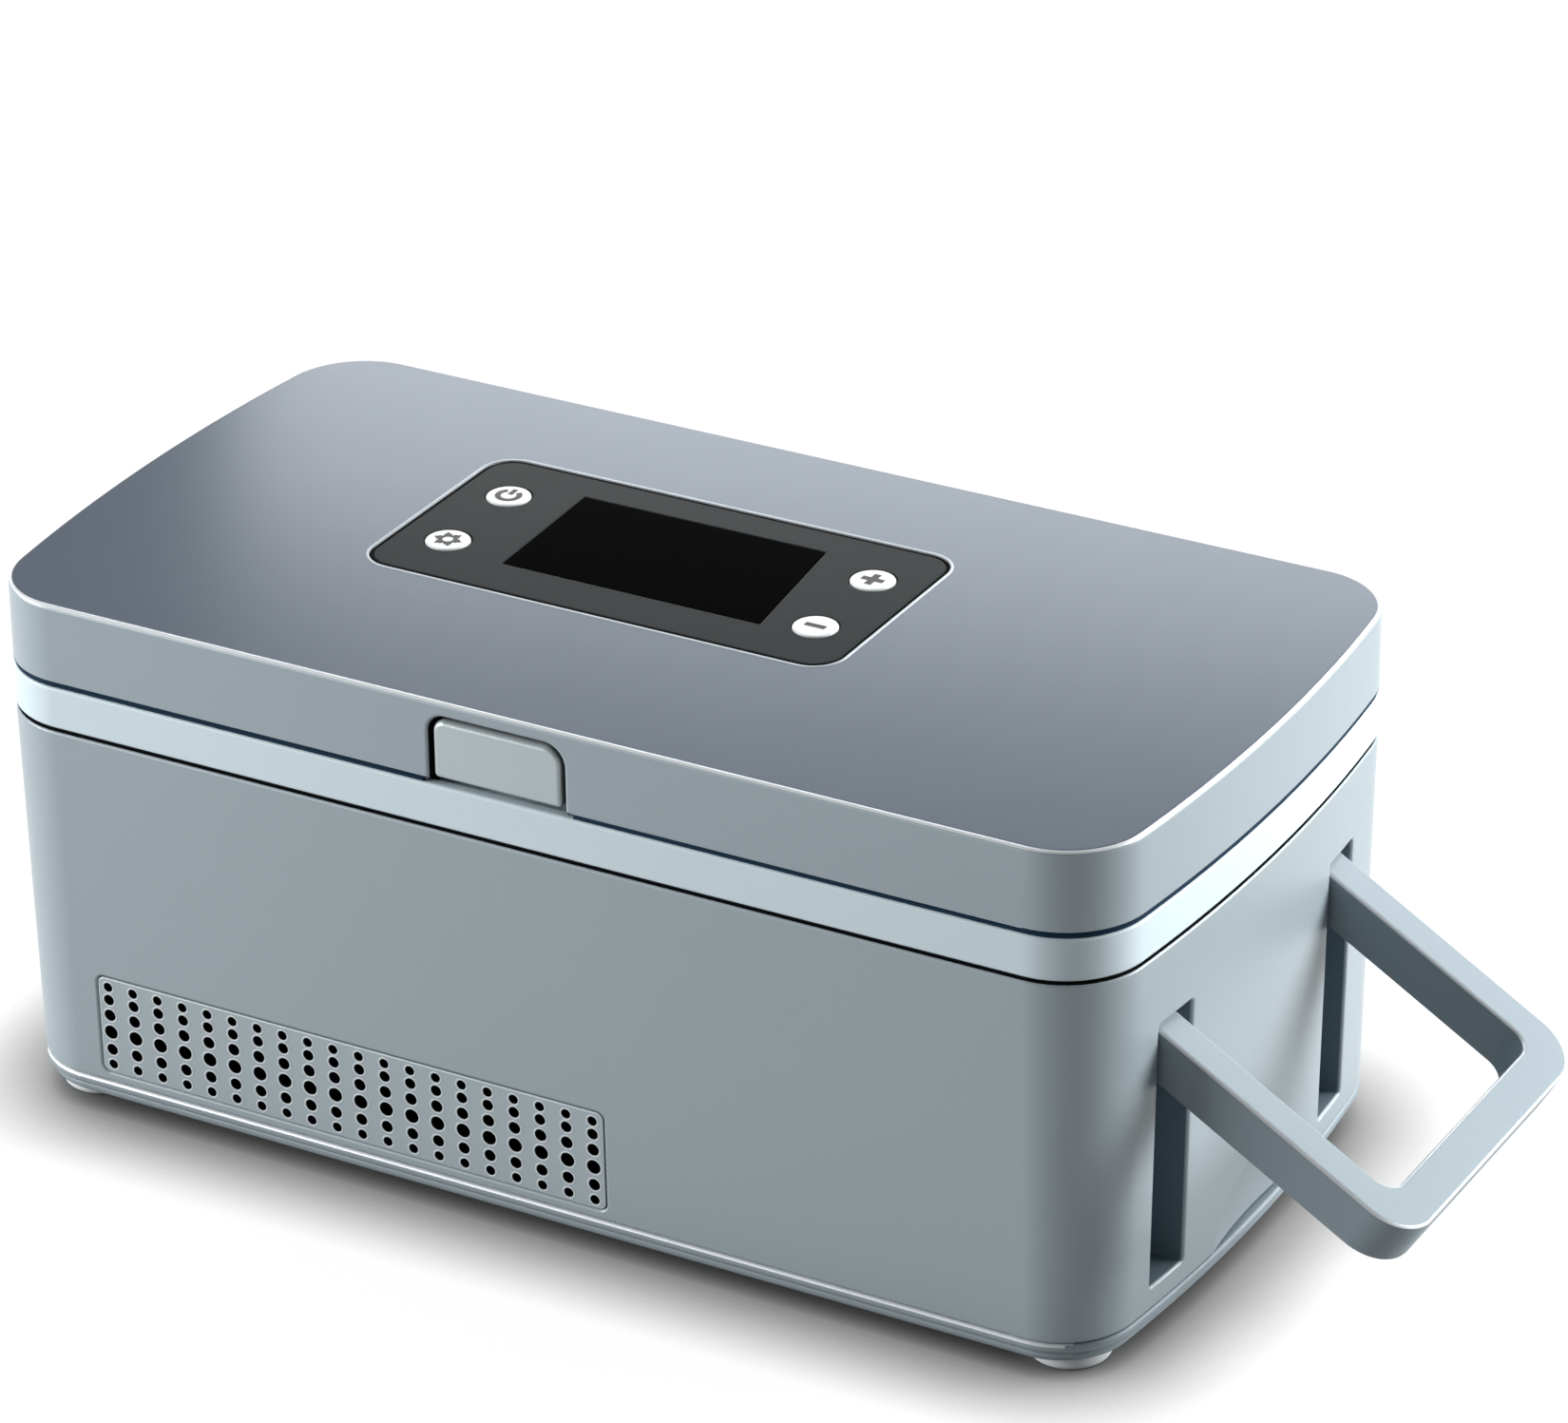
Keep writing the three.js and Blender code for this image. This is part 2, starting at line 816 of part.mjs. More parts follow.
function makeBaseCover() {
  const body = loft(baseSections());
  const housing_inner = base_inset + housing_wall;
  const register_outer = housing_inner + seat_gap;
  const register_inner = register_outer + register_thickness;
  const rim_top = body_bottom_z - seat_gap;
  const hollow = prism(casePlan(register_inner), base_floor, rim_top + overrun);
  const register = prism(casePlan(register_outer), rim_top - overrun, rim_top + register_height, [
    casePlan(register_inner),
  ]);
  const pads = corners.map((corner) =>
    rodAlongZ(screw_pad_radius, corner.x * foot_x, corner.y * foot_y, base_floor / 2, screw_pad_top_z),
  );
  const fan_posts = corners.map((corner) =>
    rodAlongZ(
      fan_post_radius,
      cooler_x + (corner.x * fan_hole_pitch) / 2,
      (corner.y * fan_hole_pitch) / 2,
      base_floor / 2,
      fan_bottom_z + fan_height / 2,
      pin_steps,
    ),
  );
  const posts = boardPosts(board_post_radius, base_floor / 2, base_floor + board_post_height);
  const foot_holes = corners.map((corner) =>
    rodAlongZ(
      foot_radius + seat_gap,
      corner.x * foot_x,
      corner.y * foot_y,
      -overrun,
      foot_recess,
      fine_round_steps,
    ),
  );
  const head_top = foot_recess + screw_head_height + 2 * seat_gap;
  const head_holes = corners.map((corner) =>
    rodAlongZ(
      screw_head_radius + seat_gap,
      corner.x * foot_x,
      corner.y * foot_y,
      foot_recess - overrun,
      head_top,
      screw_head_steps,
    ),
  );
  const shaft_holes = corners.map((corner) =>
    rodAlongZ(
      screw_radius + seat_gap,
      corner.x * foot_x,
      corner.y * foot_y,
      foot_recess,
      screw_pad_top_z + overrun,
      pin_steps,
    ),
  );
  const notch_reach = grille_width / 2 + grille_flange + overrun;
  const flange_depth = housing_wall + seat_gap + grille_flange_thickness;
  const flange_bottom = grille_centre_z - grille_height / 2 - grille_flange;
  const grille_notch = box(
    cooler_x - notch_reach,
    cooler_x + notch_reach,
    -half_width,
    -half_width + base_inset + flange_depth + register_thickness + overrun,
    Math.min(rim_top, flange_bottom - seat_gap),
    Math.max(screw_pad_top_z, rim_top + register_height) + overrun,
  );
  return cut(
    join(cut(body, hollow), register, ...pads, ...fan_posts, ...posts),
    grille_notch,
    ...foot_holes,
    ...head_holes,
    ...shaft_holes,
    ...intakeSlots(),
  );
}

function makeFoot(corner) {
  const bottom = -foot_height;
  const top = foot_recess - seat_gap;
  return turned(
    [
      [0, bottom],
      [foot_radius - foot_edge, bottom],
      [foot_radius, bottom + foot_edge],
      [foot_radius, top],
      [0, top],
    ],
    fine_round_steps,
  ).translate(corner.x * foot_x, corner.y * foot_y, 0);
}

// A pan-head screw whose head faces down
function makeScrew(x, y, head_z, head_height, length) {
  const recess = head_height / 2;
  const body = turned(
    [
      [0, head_z],
      [screw_head_radius, head_z],
      [screw_head_radius, head_z + head_height],
      [screw_radius, head_z + head_height],
      [screw_radius, head_z + head_height + length - screw_radius],
      [screw_radius * screw_tip_share, head_z + head_height + length],
      [0, head_z + head_height + length],
    ],
    screw_head_steps,
  ).translate(x, y, 0);
  const span = screw_head_radius + overrun;
  const half = screw_slot_width / 2;
  return cut(
    body,
    box(x - span, x + span, y - half, y + half, head_z - overrun, head_z + recess),
  );
}

function hingeSides() {
  return [
    { name: "left", x: -hinge_spacing / 2 },
    { name: "right", x: hinge_spacing / 2 },
  ];
}

// A moulded knuckle round the hinge axis with a web that runs into a wall
// up is 1 for the lid's knuckle and -1 for the case's knuckles
function knuckle(x0, x1, up) {
  const wall_y = half_width - band_wall / 2;
  const near = up * (lid_gap / 2 + seat_gap / 2);
  const slope = hinge_radius * hinge_web_share;
  const web = [
    new THREE.Vector2(wall_y, hinge_z + near),
    new THREE.Vector2(hinge_y, hinge_z + near),
    new THREE.Vector2(hinge_y + slope, hinge_z + up * slope),
    new THREE.Vector2(wall_y, hinge_z + up * hinge_web_drop),
  ];
  return join(
    rodAlongX(hinge_radius, hinge_y, hinge_z, x0, x1, fine_round_steps),
    prismAlongX(up > 0 ? web : web.reverse(), x0, x1),
  );
}

function hingeBore(x) {
  const reach = lid_knuckle_length / 2 + knuckle_gap + case_knuckle_length + overrun;
  const radius = hinge_pin_radius + seat_gap;
  return rodAlongX(radius, hinge_y, hinge_z, x - reach, x + reach, pin_steps);
}

function makeHingePin(x) {
  const reach = lid_knuckle_length / 2 + knuckle_gap + case_knuckle_length;
  return rodAlongX(hinge_pin_radius, hinge_y, hinge_z, x - reach, x + reach, pin_steps);
}

function chamberOutline(extra) {
  return roundedRectangle(
    chamber_length + 2 * extra,
    chamber_width + 2 * extra,
    chamber_corner + extra,
    chamber_corner_steps,
  );
}

function makeCollar() {
  const skirt_outer = housing_wall + seat_gap;
  const skirt_inner = skirt_outer + collar_skirt;
  const band = prism(casePlan(0), band_bottom_z, band_top_z, [casePlan(band_wall)]);
  const flange = prism(casePlan(band_wall / 2), band_bottom_z, band_bottom_z + collar_flange, [
    casePlan(skirt_inner),
  ]);
  const skirt = prism(
    casePlan(skirt_outer),
    band_bottom_z - collar_skirt_depth,
    band_bottom_z + collar_flange / 2,
    [casePlan(skirt_inner)],
  );
  const deck = prism(casePlan(band_wall / 2), deck_bottom_z, deck_top_z, [chamberOutline(0)]);
  const inner_x = lid_knuckle_length / 2 + knuckle_gap;
  const outer_x = inner_x + case_knuckle_length;
  const knuckles = hingeSides().flatMap(({ x }) => [
    knuckle(x - outer_x, x - inner_x, -1),
    knuckle(x + inner_x, x + outer_x, -1),
  ]);
  const hook_slot = box(
    latch_x - hook_width / 2 - overrun,
    latch_x + hook_width / 2 + overrun,
    barb_tip_y - catch_relief - seat_gap,
    hook_rear_y + latch_travel + catch_relief,
    deck_bottom_z - overrun,
    deck_top_z + overrun,
  );
  return cut(
    join(band, flange, skirt, deck, ...knuckles),
    hook_slot,
    ...hingeSides().map(({ x }) => hingeBore(x)),
  );
}

// The steel plate under the deck whose rear edge the latch hook catches
function makeCatchPlate() {
  const rear = barb_tip_y - catch_relief;
  const front = -half_width + band_wall + seat_gap;
  const top = deck_bottom_z - seat_gap;
  const plate = box(
    latch_x - catch_width / 2,
    latch_x + catch_width / 2,
    front,
    rear,
    top - catch_thickness,
    top,
  );
  const lip = box(
    latch_x - catch_width / 2,
    latch_x + catch_width / 2,
    front,
    front + catch_thickness,
    top - 2 * catch_thickness,
    top - catch_thickness / 2,
  );
  return join(plate, lip);
}

function makeGrille() {
  const outline = roundedRectangle(grille_width, grille_height, grille_corner);
  const holes = grille_rows.flatMap(({ rise_share, size_share }) =>
    Array.from({ length: grille_columns }, (_, column) => {
      const x = (column - (grille_columns - 1) / 2) * grille_column_pitch;
      const rise = (rise_share * grille_height) / 2;
      const radius = size_share * grille_hole_radius;
      return arcPoints(x, rise, radius, 0, 2 * Math.PI, grille_hole_steps).slice(1);
    }),
  );
  const rear = housing_wall + seat_gap;
  const plate = prismAlongY(outline, grille_sink, grille_sink + grille_plate, holes);
  const rim_hole = roundedRectangle(
    grille_width - 2 * grille_neck,
    grille_height - 2 * grille_neck,
    grille_corner - grille_neck,
  );
  const neck = prismAlongY(outline, grille_plate, rear + grille_flange_thickness, [rim_hole]);
  const flange = prismAlongY(
    roundedRectangle(
      grille_width + 2 * grille_flange,
      grille_height + 2 * grille_flange,
      grille_corner + grille_flange,
    ),
    rear,
    rear + grille_flange_thickness,
    [rim_hole],
  );
  return join(plate, neck, flange);
}

function makeHandlePin(side) {
  const y = slotCentreY(side);
  const reach = slot_width / 2 + slot_wall;
  return rodAlongY(
    handle_pin_radius,
    handle_pivot_x,
    handle_pivot_z,
    y - reach,
    y + reach,
    pin_steps,
  );
}

// Cooling stack

function makeFanFrame() {
  const block = roundedBlock(0, 0, fan_size, fan_size, fan_corner, 0, fan_height);
  const bore = rodAlongZ(fan_bore_radius, 0, 0, -overrun, fan_height + overrun, fine_round_steps);
  const motor_plate = rodAlongZ(fan_hub_radius, 0, 0, 0, fan_strut_height);
  const shaft = rodAlongZ(
    fan_shaft_radius,
    0,
    0,
    fan_strut_height / 2,
    fan_height - fan_strut_height,
    pin_steps,
  );
  const strut_end = fan_bore_radius + overrun;
  const struts = [45, 135].map((degrees) =>
    box(
      -strut_end,
      strut_end,
      -fan_strut_width / 2,
      fan_strut_width / 2,
      0,
      fan_strut_height,
    ).rotateZ(THREE.MathUtils.degToRad(degrees)),
  );
  const holes = corners.map((corner) =>
    rodAlongZ(
      fan_hole_radius,
      (corner.x * fan_hole_pitch) / 2,
      (corner.y * fan_hole_pitch) / 2,
      -overrun,
      fan_height + overrun,
      pin_steps,
    ),
  );
  return cut(join(cut(block, bore), motor_plate, shaft, ...struts), ...holes);
}

// One pitched blade, from the hub outwards along X
function fanBlade(low, high) {
  const span = (high - low) / 2;
  const middle = (high + low) / 2;
  const middle_pitch = (fan_blade_root_pitch + fan_blade_tip_pitch) / 2;
  const stations = [
    { x: fan_hub_radius * fan_blade_root_share, pitch: fan_blade_root_pitch },
    { x: (fan_hub_radius + fan_blade_reach) / 2, pitch: middle_pitch },
    { x: fan_blade_reach, pitch: fan_blade_tip_pitch },
  ];
  const sections = stations.map(({ x, pitch }) => {
    const lean = (span - fan_blade_thickness) / Math.tan(pitch);
    const half = fan_blade_thickness / 2;
    return {
      z: x,
      outline: [
        new THREE.Vector2(-lean - half, middle - span),
        new THREE.Vector2(-lean + half, middle - span),
        new THREE.Vector2(lean + half, middle + span),
        new THREE.Vector2(lean - half, middle + span),
      ],
    };
  });
  const turn = new THREE.Matrix4().makeBasis(
    new THREE.Vector3(0, 1, 0),
    new THREE.Vector3(0, 0, 1),
    new THREE.Vector3(1, 0, 0),
  );
  return loft(sections).applyMatrix4(turn);
}

function makeFanRotor() {
  const low = fan_strut_height + seat_gap;
  const high = fan_height - seat_gap;
  const blade_low = low + overrun;
  const blade_high = high - overrun;
  const hub = rodAlongZ(fan_hub_radius, 0, 0, low, high, fine_round_steps);
  const bore_top = fan_height - fan_strut_height + seat_gap;
  const bore = rodAlongZ(
    fan_shaft_radius + seat_gap,
    0,
    0,
    low - overrun,
    bore_top,
    pin_steps,
  );
  const blades = Array.from({ length: fan_blade_count }, (_, i) =>
    fanBlade(blade_low, blade_high).rotateZ((2 * Math.PI * i) / fan_blade_count),
  );
  return cut(join(hub, ...blades), bore);
}

// The hot side's finned block, its fins hanging down to the fan
function makeHeatSink() {
  const half = sink_length / 2;
  const pitch = (sink_length - fin_thickness) / (fin_count - 1);
  const outline = [
    new THREE.Vector2(half, sink_top_z),
    new THREE.Vector2(-half, sink_top_z),
  ];
  for (let i = 0; i < fin_count; i += 1) {
    const left = -half + i * pitch;
    outline.push(new THREE.Vector2(left, i === 0 ? fin_bottom_z : fin_top_z));
    if (i > 0) outline.push(new THREE.Vector2(left, fin_bottom_z));
    outline.push(new THREE.Vector2(left + fin_thickness, fin_bottom_z));
    if (i < fin_count - 1) outline.push(new THREE.Vector2(left + fin_thickness, fin_top_z));
  }
  return prismAlongY(outline, -sink_width / 2, sink_width / 2).translate(cooler_x, 0, 0);
}

function squareBlock(size, corner, z0, z1) {
  return roundedBlock(cooler_x, 0, size, size, corner, z0, z1);
}

// Chamber

function makeChamberLiner() {
  const tub = prism(chamberOutline(liner_wall), liner_bottom_z, liner_top_z);
  const flange = prism(
    chamberOutline(liner_wall + liner_flange),
    liner_top_z - liner_wall,
    liner_top_z,
  );
  const hollow = prism(chamberOutline(0), liner_bottom_z + liner_wall, liner_top_z + overrun);
  return cut(join(tub, flange), hollow);
}

function makeChamberFoam() {
  const block = roundedBlock(
    0,
    0,
    foam_length,
    foam_width,
    foam_corner,
    foam_bottom_z,
    foam_top_z,
  );
  const cavity = prism(
    chamberOutline(liner_wall + seat_gap),
    liner_bottom_z - seat_gap,
    foam_top_z + overrun,
  );
  const cooler_hole = squareBlock(
    cold_block_size + 2 * seat_gap,
    least_corner_radius,
    foam_bottom_z - overrun,
    liner_bottom_z,
  );
  const groove = box(
    cooler_x,
    probe_x + probe_length / 2 + seat_gap,
    -probe_radius - seat_gap,
    probe_radius + seat_gap,
    liner_bottom_z - 2 * probe_radius - 3 * seat_gap,
    liner_bottom_z,
  );
  const hook_room = box(
    latch_x - hook_width / 2 - 2 * overrun,
    latch_x + hook_width / 2 + 2 * overrun,
    -foam_width / 2 - overrun,
    hook_rear_y + latch_travel + catch_relief,
    lid_bottom_z - hook_drop - 2 * overrun,
    foam_top_z + overrun,
  );
  return cut(block, cavity, cooler_hole, groove, hook_room);
}

function makeMedicineTray() {
  const length = chamber_length - 2 * tray_play;
  const width = chamber_width - 2 * tray_play;
  const low = liner_bottom_z + liner_wall + seat_gap;
  const high = low + tray_height;
  const block = roundedBlock(0, 0, length, width, chamber_corner - tray_play, low, high);
  const lane_width = (width - (tray_lanes + 1) * tray_wall) / tray_lanes;
  const lane_length = length - 2 * tray_wall;
  const lanes = Array.from({ length: tray_lanes }, (_, i) => {
    const y = (i - (tray_lanes - 1) / 2) * (lane_width + tray_wall);
    const outer = i === 0 || i === tray_lanes - 1;
    const shortened = outer ? lane_length - chamber_corner : lane_length;
    return box(
      -shortened / 2,
      shortened / 2,
      y - lane_width / 2,
      y + lane_width / 2,
      low + tray_wall,
      high + overrun,
    );
  });
  const notch = rodAlongY(
    finger_notch_radius,
    0,
    high + finger_notch_lift,
    -width / 2 + tray_wall,
    width / 2 - tray_wall,
  );
  return cut(block, ...lanes, notch);
}

function makeTemperatureProbe() {
  const z = liner_bottom_z - seat_gap - probe_radius;
  return rodAlongX(
    probe_radius,
    0,
    z,
    probe_x - probe_length / 2,
    probe_x + probe_length / 2,
    pin_steps,
  );
}

// Electronics in the base

function makeControlBoard() {
  const low = base_floor + board_post_height + seat_gap;
  const top = low + board_thickness;
  const root = low + board_thickness / 2;
  const plate = roundedBlock(board_x, board_y, board_length, board_width, board_corner, low, top);
  const capacitors = Array.from({ length: capacitor_count }, (_, i) =>
    rodAlongZ(
      capacitor_radius,
      board_x - board_length / 4 + i * capacitor_pitch,
      board_y + board_width / 4,
      root,
      top + capacitor_height,
      pin_steps,
    ),
  );
  const coil = roundedBlock(
    board_x + board_length / 4,
    board_y + board_width / 6,
    coil_size,
    coil_size,
    coil_corner,
    root,
    top + coil_height,
  );
  const controller = box(
    board_x - controller_length / 2,
    board_x + controller_length / 2,
    board_y - controller_width,
    board_y,
    root,
    top + controller_height,
  );
  const socket_front_y = board_y - board_width / 2 + socket_inset;
  const sockets = [-1, 0, 1].map((i) =>
    box(
      board_x + i * socket_pitch - socket_length / 2,
      board_x + i * socket_pitch + socket_length / 2,
      socket_front_y,
      socket_front_y + socket_width,
      root,
      top + socket_height,
    ),
  );
  return join(plate, ...capacitors, coil, controller, ...sockets);
}

// Cells side by side in one wrap, seen along X
function batteryOutline(extra) {
  const radius = cell_radius + extra;
  const middle_z = base_floor + seat_gap + cell_radius;
  const reach = (cell_count - 1) * cell_radius;
  const quarter = Math.PI / 2;
  return withoutRepeats([
    ...arcPoints(battery_y + reach, middle_z, radius, -quarter, quarter, cell_steps),
    ...arcPoints(battery_y - reach, middle_z, radius, quarter, 3 * quarter, cell_steps),
  ]);
}

function makeBatteryPack() {
  return prismAlongX(batteryOutline(0), battery_x - cell_length / 2, battery_x + cell_length / 2);
}

// A strap over the cells with a foot on each side
function makeBatteryBracket() {
  const low = base_floor + seat_gap;
  const inner = cell_count * cell_radius + seat_gap;
  const outer = inner + bracket_thickness;
  const top = low + 2 * cell_radius + seat_gap;
  const points = [
    [-outer - bracket_foot, low],
    [-inner, low],
    [-inner, top],
    [inner, top],
    [inner, low],
    [outer + bracket_foot, low],
    [outer + bracket_foot, low + bracket_thickness],
    [outer, low + bracket_thickness],
    [outer, top + bracket_thickness],
    [-outer, top + bracket_thickness],
    [-outer, low + bracket_thickness],
    [-outer - bracket_foot, low + bracket_thickness],
  ].map(([y, z]) => new THREE.Vector2(battery_y + y, z));
  return prismAlongX(points, battery_x - bracket_width / 2, battery_x + bracket_width / 2);
}

// Barrel socket: a bore with a centre pin, square behind the wall
function makeInlet() {
  const face = half_width - draftInset(inlet_z) - seat_gap;
  const wall_inner = face + seat_gap - housing_wall;
  const rear = wall_inner - seat_gap - inlet_body_depth;
  const bore_end = face - inlet_bore_depth;
  const barrel = turned(
    [
      [0, rear + overrun],
      [inlet_barrel_radius, rear + overrun],
      [inlet_barrel_radius, face],
      [inlet_bore_radius, face],
      [inlet_bore_radius, bore_end],
      [inlet_pin_radius, bore_end],
      [inlet_pin_radius, face - overrun],
      [0, face - overrun],
    ],
    round_steps,
  )
    .rotateX(-Math.PI / 2)
    .translate(inlet_x, 0, inlet_z);
  const half = inlet_body_size / 2;
  const body = box(
    inlet_x - half,
    inlet_x + half,
    rear,
    wall_inner - seat_gap,
    inlet_z - half,
    inlet_z + half,
  );
  const bore = rodAlongY(inlet_bore_radius, inlet_x, inlet_z, bore_end, face);
  return join(cut(body, bore), barrel);
}

// Handle, in its own frame: the pivot is the origin and X runs along the arms

function makeHandle() {
  const half = handle_width / 2;
  const inner = half - handle_arm;
  const bar_inner = handle_reach - handle_bar;
  const quarter = Math.PI / 2;
  const outline = [
    new THREE.Vector2(0, -half),
    ...arcPoints(
      handle_reach - handle_outer_corner,
      -half + handle_outer_corner,
      handle_outer_corner,
      -quarter,
      0,
      handle_outer_steps,
    ),
    ...arcPoints(
      handle_reach - handle_outer_corner,
      half - handle_outer_corner,
      handle_outer_corner,
      0,
      quarter,
      handle_outer_steps,
    ),
    new THREE.Vector2(0, half),
    new THREE.Vector2(0, inner),
    ...arcPoints(
      bar_inner - handle_inner_corner,
      inner - handle_inner_corner,
      handle_inner_corner,
      quarter,
      0,
      handle_inner_steps,
    ),
    ...arcPoints(
      bar_inner - handle_inner_corner,
      -inner + handle_inner_corner,
      handle_inner_corner,
      0,
      -quarter,
      handle_inner_steps,
    ),
    new THREE.Vector2(0, -inner),
  ];
  const loop = new THREE.ExtrudeGeometry(shapeOf(outline), {
    depth: handle_depth - 2 * handle_edge,
    bevelThickness: handle_edge,
    bevelSize: handle_edge,
    bevelOffset: -handle_edge,
    bevelSegments: 2,
  }).translate(0, 0, -handle_depth / 2 + handle_edge);
  const eyes = [-1, 1].map((side) =>
    rodAlongY(
      handle_depth / 2,
      0,
      0,
      side < 0 ? -half : inner,
      side < 0 ? -inner : half,
      fine_round_steps,
    ),
  );
  const pin_hole = rodAlongY(
    handle_pin_radius + seat_gap,
    0,
    0,
    -half - overrun,
    half + overrun,
    pin_steps,
  );
  return cut(join(loop, ...eyes), pin_hole);
}

// Lid, in its own frame: the lid's bottom edge is at zero height

function lidSections(inset) {
  const sections = [{ outline: casePlan(inset), z: 0 }];
  for (let i = 0; i <= lid_edge_steps; i += 1) {
    const angle = (Math.PI / 2) * (i / lid_edge_steps);
    sections.push({
      outline: casePlan(inset + lid_edge * (1 - Math.cos(angle))),
      z: lid_height - lid_edge * (1 - Math.sin(angle)),
    });
  }
  return sections;
}

function panelBlock(size_x, size_y, corner, z0, z1) {
  return roundedBlock(panel_x, panel_y, size_x, size_y, corner, z0, z1);
}

function makeLidShell() {
  const outer = loft(lidSections(0));
  const inner = prism(casePlan(lid_wall), -overrun, lid_ceiling);
  const rim = lid_wall;
  const well = panelBlock(
    panel_length + 2 * rim,
    panel_width + 2 * rim,
    panel_corner + rim,
    ledge_bottom,
    lid_ceiling + lid_top_wall / 2,
  );
  const recess = panelBlock(
    panel_length + 2 * seat_gap,
    panel_width + 2 * seat_gap,
    panel_corner + seat_gap,
    recess_floor,
    lid_height + overrun,
  );
  const opening = panelBlock(
    panel_opening_length,
    panel_opening_width,
    panel_opening_corner,
    ledge_bottom - overrun,
    lid_height,
  );
  const latch_opening = prismAlongY(
    latchOutline(latch_gap),
    -half_width - overrun,
    -half_width + lid_wall + overrun,
  );
  const boss_low = liner_plate_top + seat_gap;
  const bosses = corners.map((corner) =>
    rodAlongZ(
      lid_boss_radius,
      corner.x * lid_boss_x,
      corner.y * lid_boss_y,
      boss_low,
      lid_ceiling + lid_top_wall / 2,
    ),
  );
  const boss_holes = corners.map((corner) =>
    rodAlongZ(
      screw_radius + seat_gap,
      corner.x * lid_boss_x,
      corner.y * lid_boss_y,
      boss_low - overrun,
      lid_screw_length + liner_plate_top,
      pin_steps,
    ),
  );
  const knuckles = hingeSides().map(({ x }) => {
    const reach = lid_knuckle_length / 2;
    return cut(knuckle(x - reach, x + reach, 1), hingeBore(x));
  });
  const local_knuckles = knuckles.map((shape) => lowered(shape, lid_bottom_z));
  return cut(
    join(cut(outer, inner), well, ...bosses, ...local_knuckles),
    recess,
    opening,
    latch_opening,
    ...boss_holes,
  );
}

// The same solid, moved down
function lowered(shape, drop) {
  return toSolid(toGeometry(shape).translate(0, 0, -drop));
}

function lidLinerNotch(extra) {
  const reach = latch_body_width / 2 + guide_wall + 3 * seat_gap + extra;
  return { reach, rear: guide_rear_y + guide_wall + seat_gap + extra };
}

function makeLidLiner() {
  const notch = lidLinerNotch(0);
  const plate = prism(casePlan(lid_wall + seat_gap), liner_lift, liner_plate_top);
  const plug = prism(chamberOutline(-plug_play), liner_lift - plug_depth, liner_lift + overrun);
  const dish = prism(
    chamberOutline(-plug_play - plug_wall),
    liner_lift - plug_depth + plug_wall,
    liner_plate_top + overrun,
  );
  const latch_room = box(
    latch_x - notch.reach,
    latch_x + notch.reach,
    -half_width,
    notch.rear,
    liner_lift - overrun,
    liner_plate_top + overrun,
  );
  const head_top = liner_lift + lid_screw_head_height + 2 * seat_gap;
  const head_holes = corners.map((corner) =>
    rodAlongZ(
      screw_head_radius + seat_gap,
      corner.x * lid_boss_x,
      corner.y * lid_boss_y,
      liner_lift - overrun,
      head_top,
      screw_head_steps,
    ),
  );
  const shaft_holes = corners.map((corner) =>
    rodAlongZ(
      screw_radius + seat_gap,
      corner.x * lid_boss_x,
      corner.y * lid_boss_y,
      liner_lift,
      liner_plate_top + overrun,
      pin_steps,
    ),
  );
  return cut(join(plate, plug), dish, latch_room, ...head_holes, ...shaft_holes);
}

function makeLidFoam() {
  const fill = prism(
    chamberOutline(-plug_play - plug_wall - seat_gap),
    liner_lift - plug_depth + plug_wall + seat_gap,
    liner_plate_top + overrun,
  );
  const slab = prism(
    chamberOutline(0),
    liner_plate_top + seat_gap,
    display_board_bottom - seat_gap,
  );
  return join(fill, slab);
}

function makeLidGasket() {
  const low = deck_top_z - lid_bottom_z + seat_gap;
  const high = liner_lift - seat_gap;
  return prism(chamberOutline(gasket_inset + gasket_width), low, high, [
    chamberOutline(gasket_inset),
  ]);
}

// Display stack, in the panel's own frame: its centre is the origin, heights as in the lid

const keys = [
  { name: "power_button", x: -key_x, y: key_y },
  { name: "mode_button", x: -key_x, y: -key_y },
  { name: "plus_button", x: key_x, y: key_y },
  { name: "minus_button", x: key_x, y: -key_y },
];

// The display window grown by extra; its ends lean to the left towards the far edge
function windowOutline(extra) {
  return roundedRectangle(
    window_length + 2 * extra,
    window_width + 2 * extra,
    window_corner + extra,
  ).map(({ x, y }) => {
    const share = x / window_length + 1 / 2;
    const lean = window_left_lean + (window_right_lean - window_left_lean) * share;
    return new THREE.Vector2(window_x + x - (lean * y) / window_width, window_y + y);
  });
}

function makeBezel() {
  const key_holes = keys.map(({ x, y }) =>
    arcPoints(x, y, key_radius + seat_gap, 0, 2 * Math.PI, fine_round_steps).slice(1),
  );
  const plate = prism(
    roundedRectangle(panel_length, panel_width, panel_corner, panel_corner_steps),
    bezel_bottom,
    lid_height,
    [windowOutline(seat_gap), ...key_holes],
  );
  const posts = corners.map((corner) =>
    rodAlongZ(
      display_post_radius,
      corner.x * display_post_x,
      corner.y * display_post_y,
      display_board_top + seat_gap,
      bezel_bottom + bezel_thickness / 2,
      pin_steps,
    ),
  );
  const cleared = posts.map((post) => common(post, postRoom()));
  return join(plate, ...cleared);
}

// Room for the posts between the display and the edge of the opening
function postRoom() {
  const high = bezel_bottom + bezel_thickness / 2;
  return roundedBlock(
    0,
    0,
    panel_opening_length - 2 * seat_gap,
    panel_opening_width - 2 * seat_gap,
    panel_opening_corner,
    display_board_top,
    high,
  );
}

function makeDisplayWindow() {
  const top = lid_height - seat_gap / 2;
  return prism(windowOutline(0), top - window_thickness, top);
}

function makeLcdModule() {
  const outline = roundedRectangle(lcd_length, lcd_width, window_corner).map(
    (point) => new THREE.Vector2(point.x + window_x, point.y + window_y),
  );
  return prism(outline, lcd_bottom, lcd_top);
}

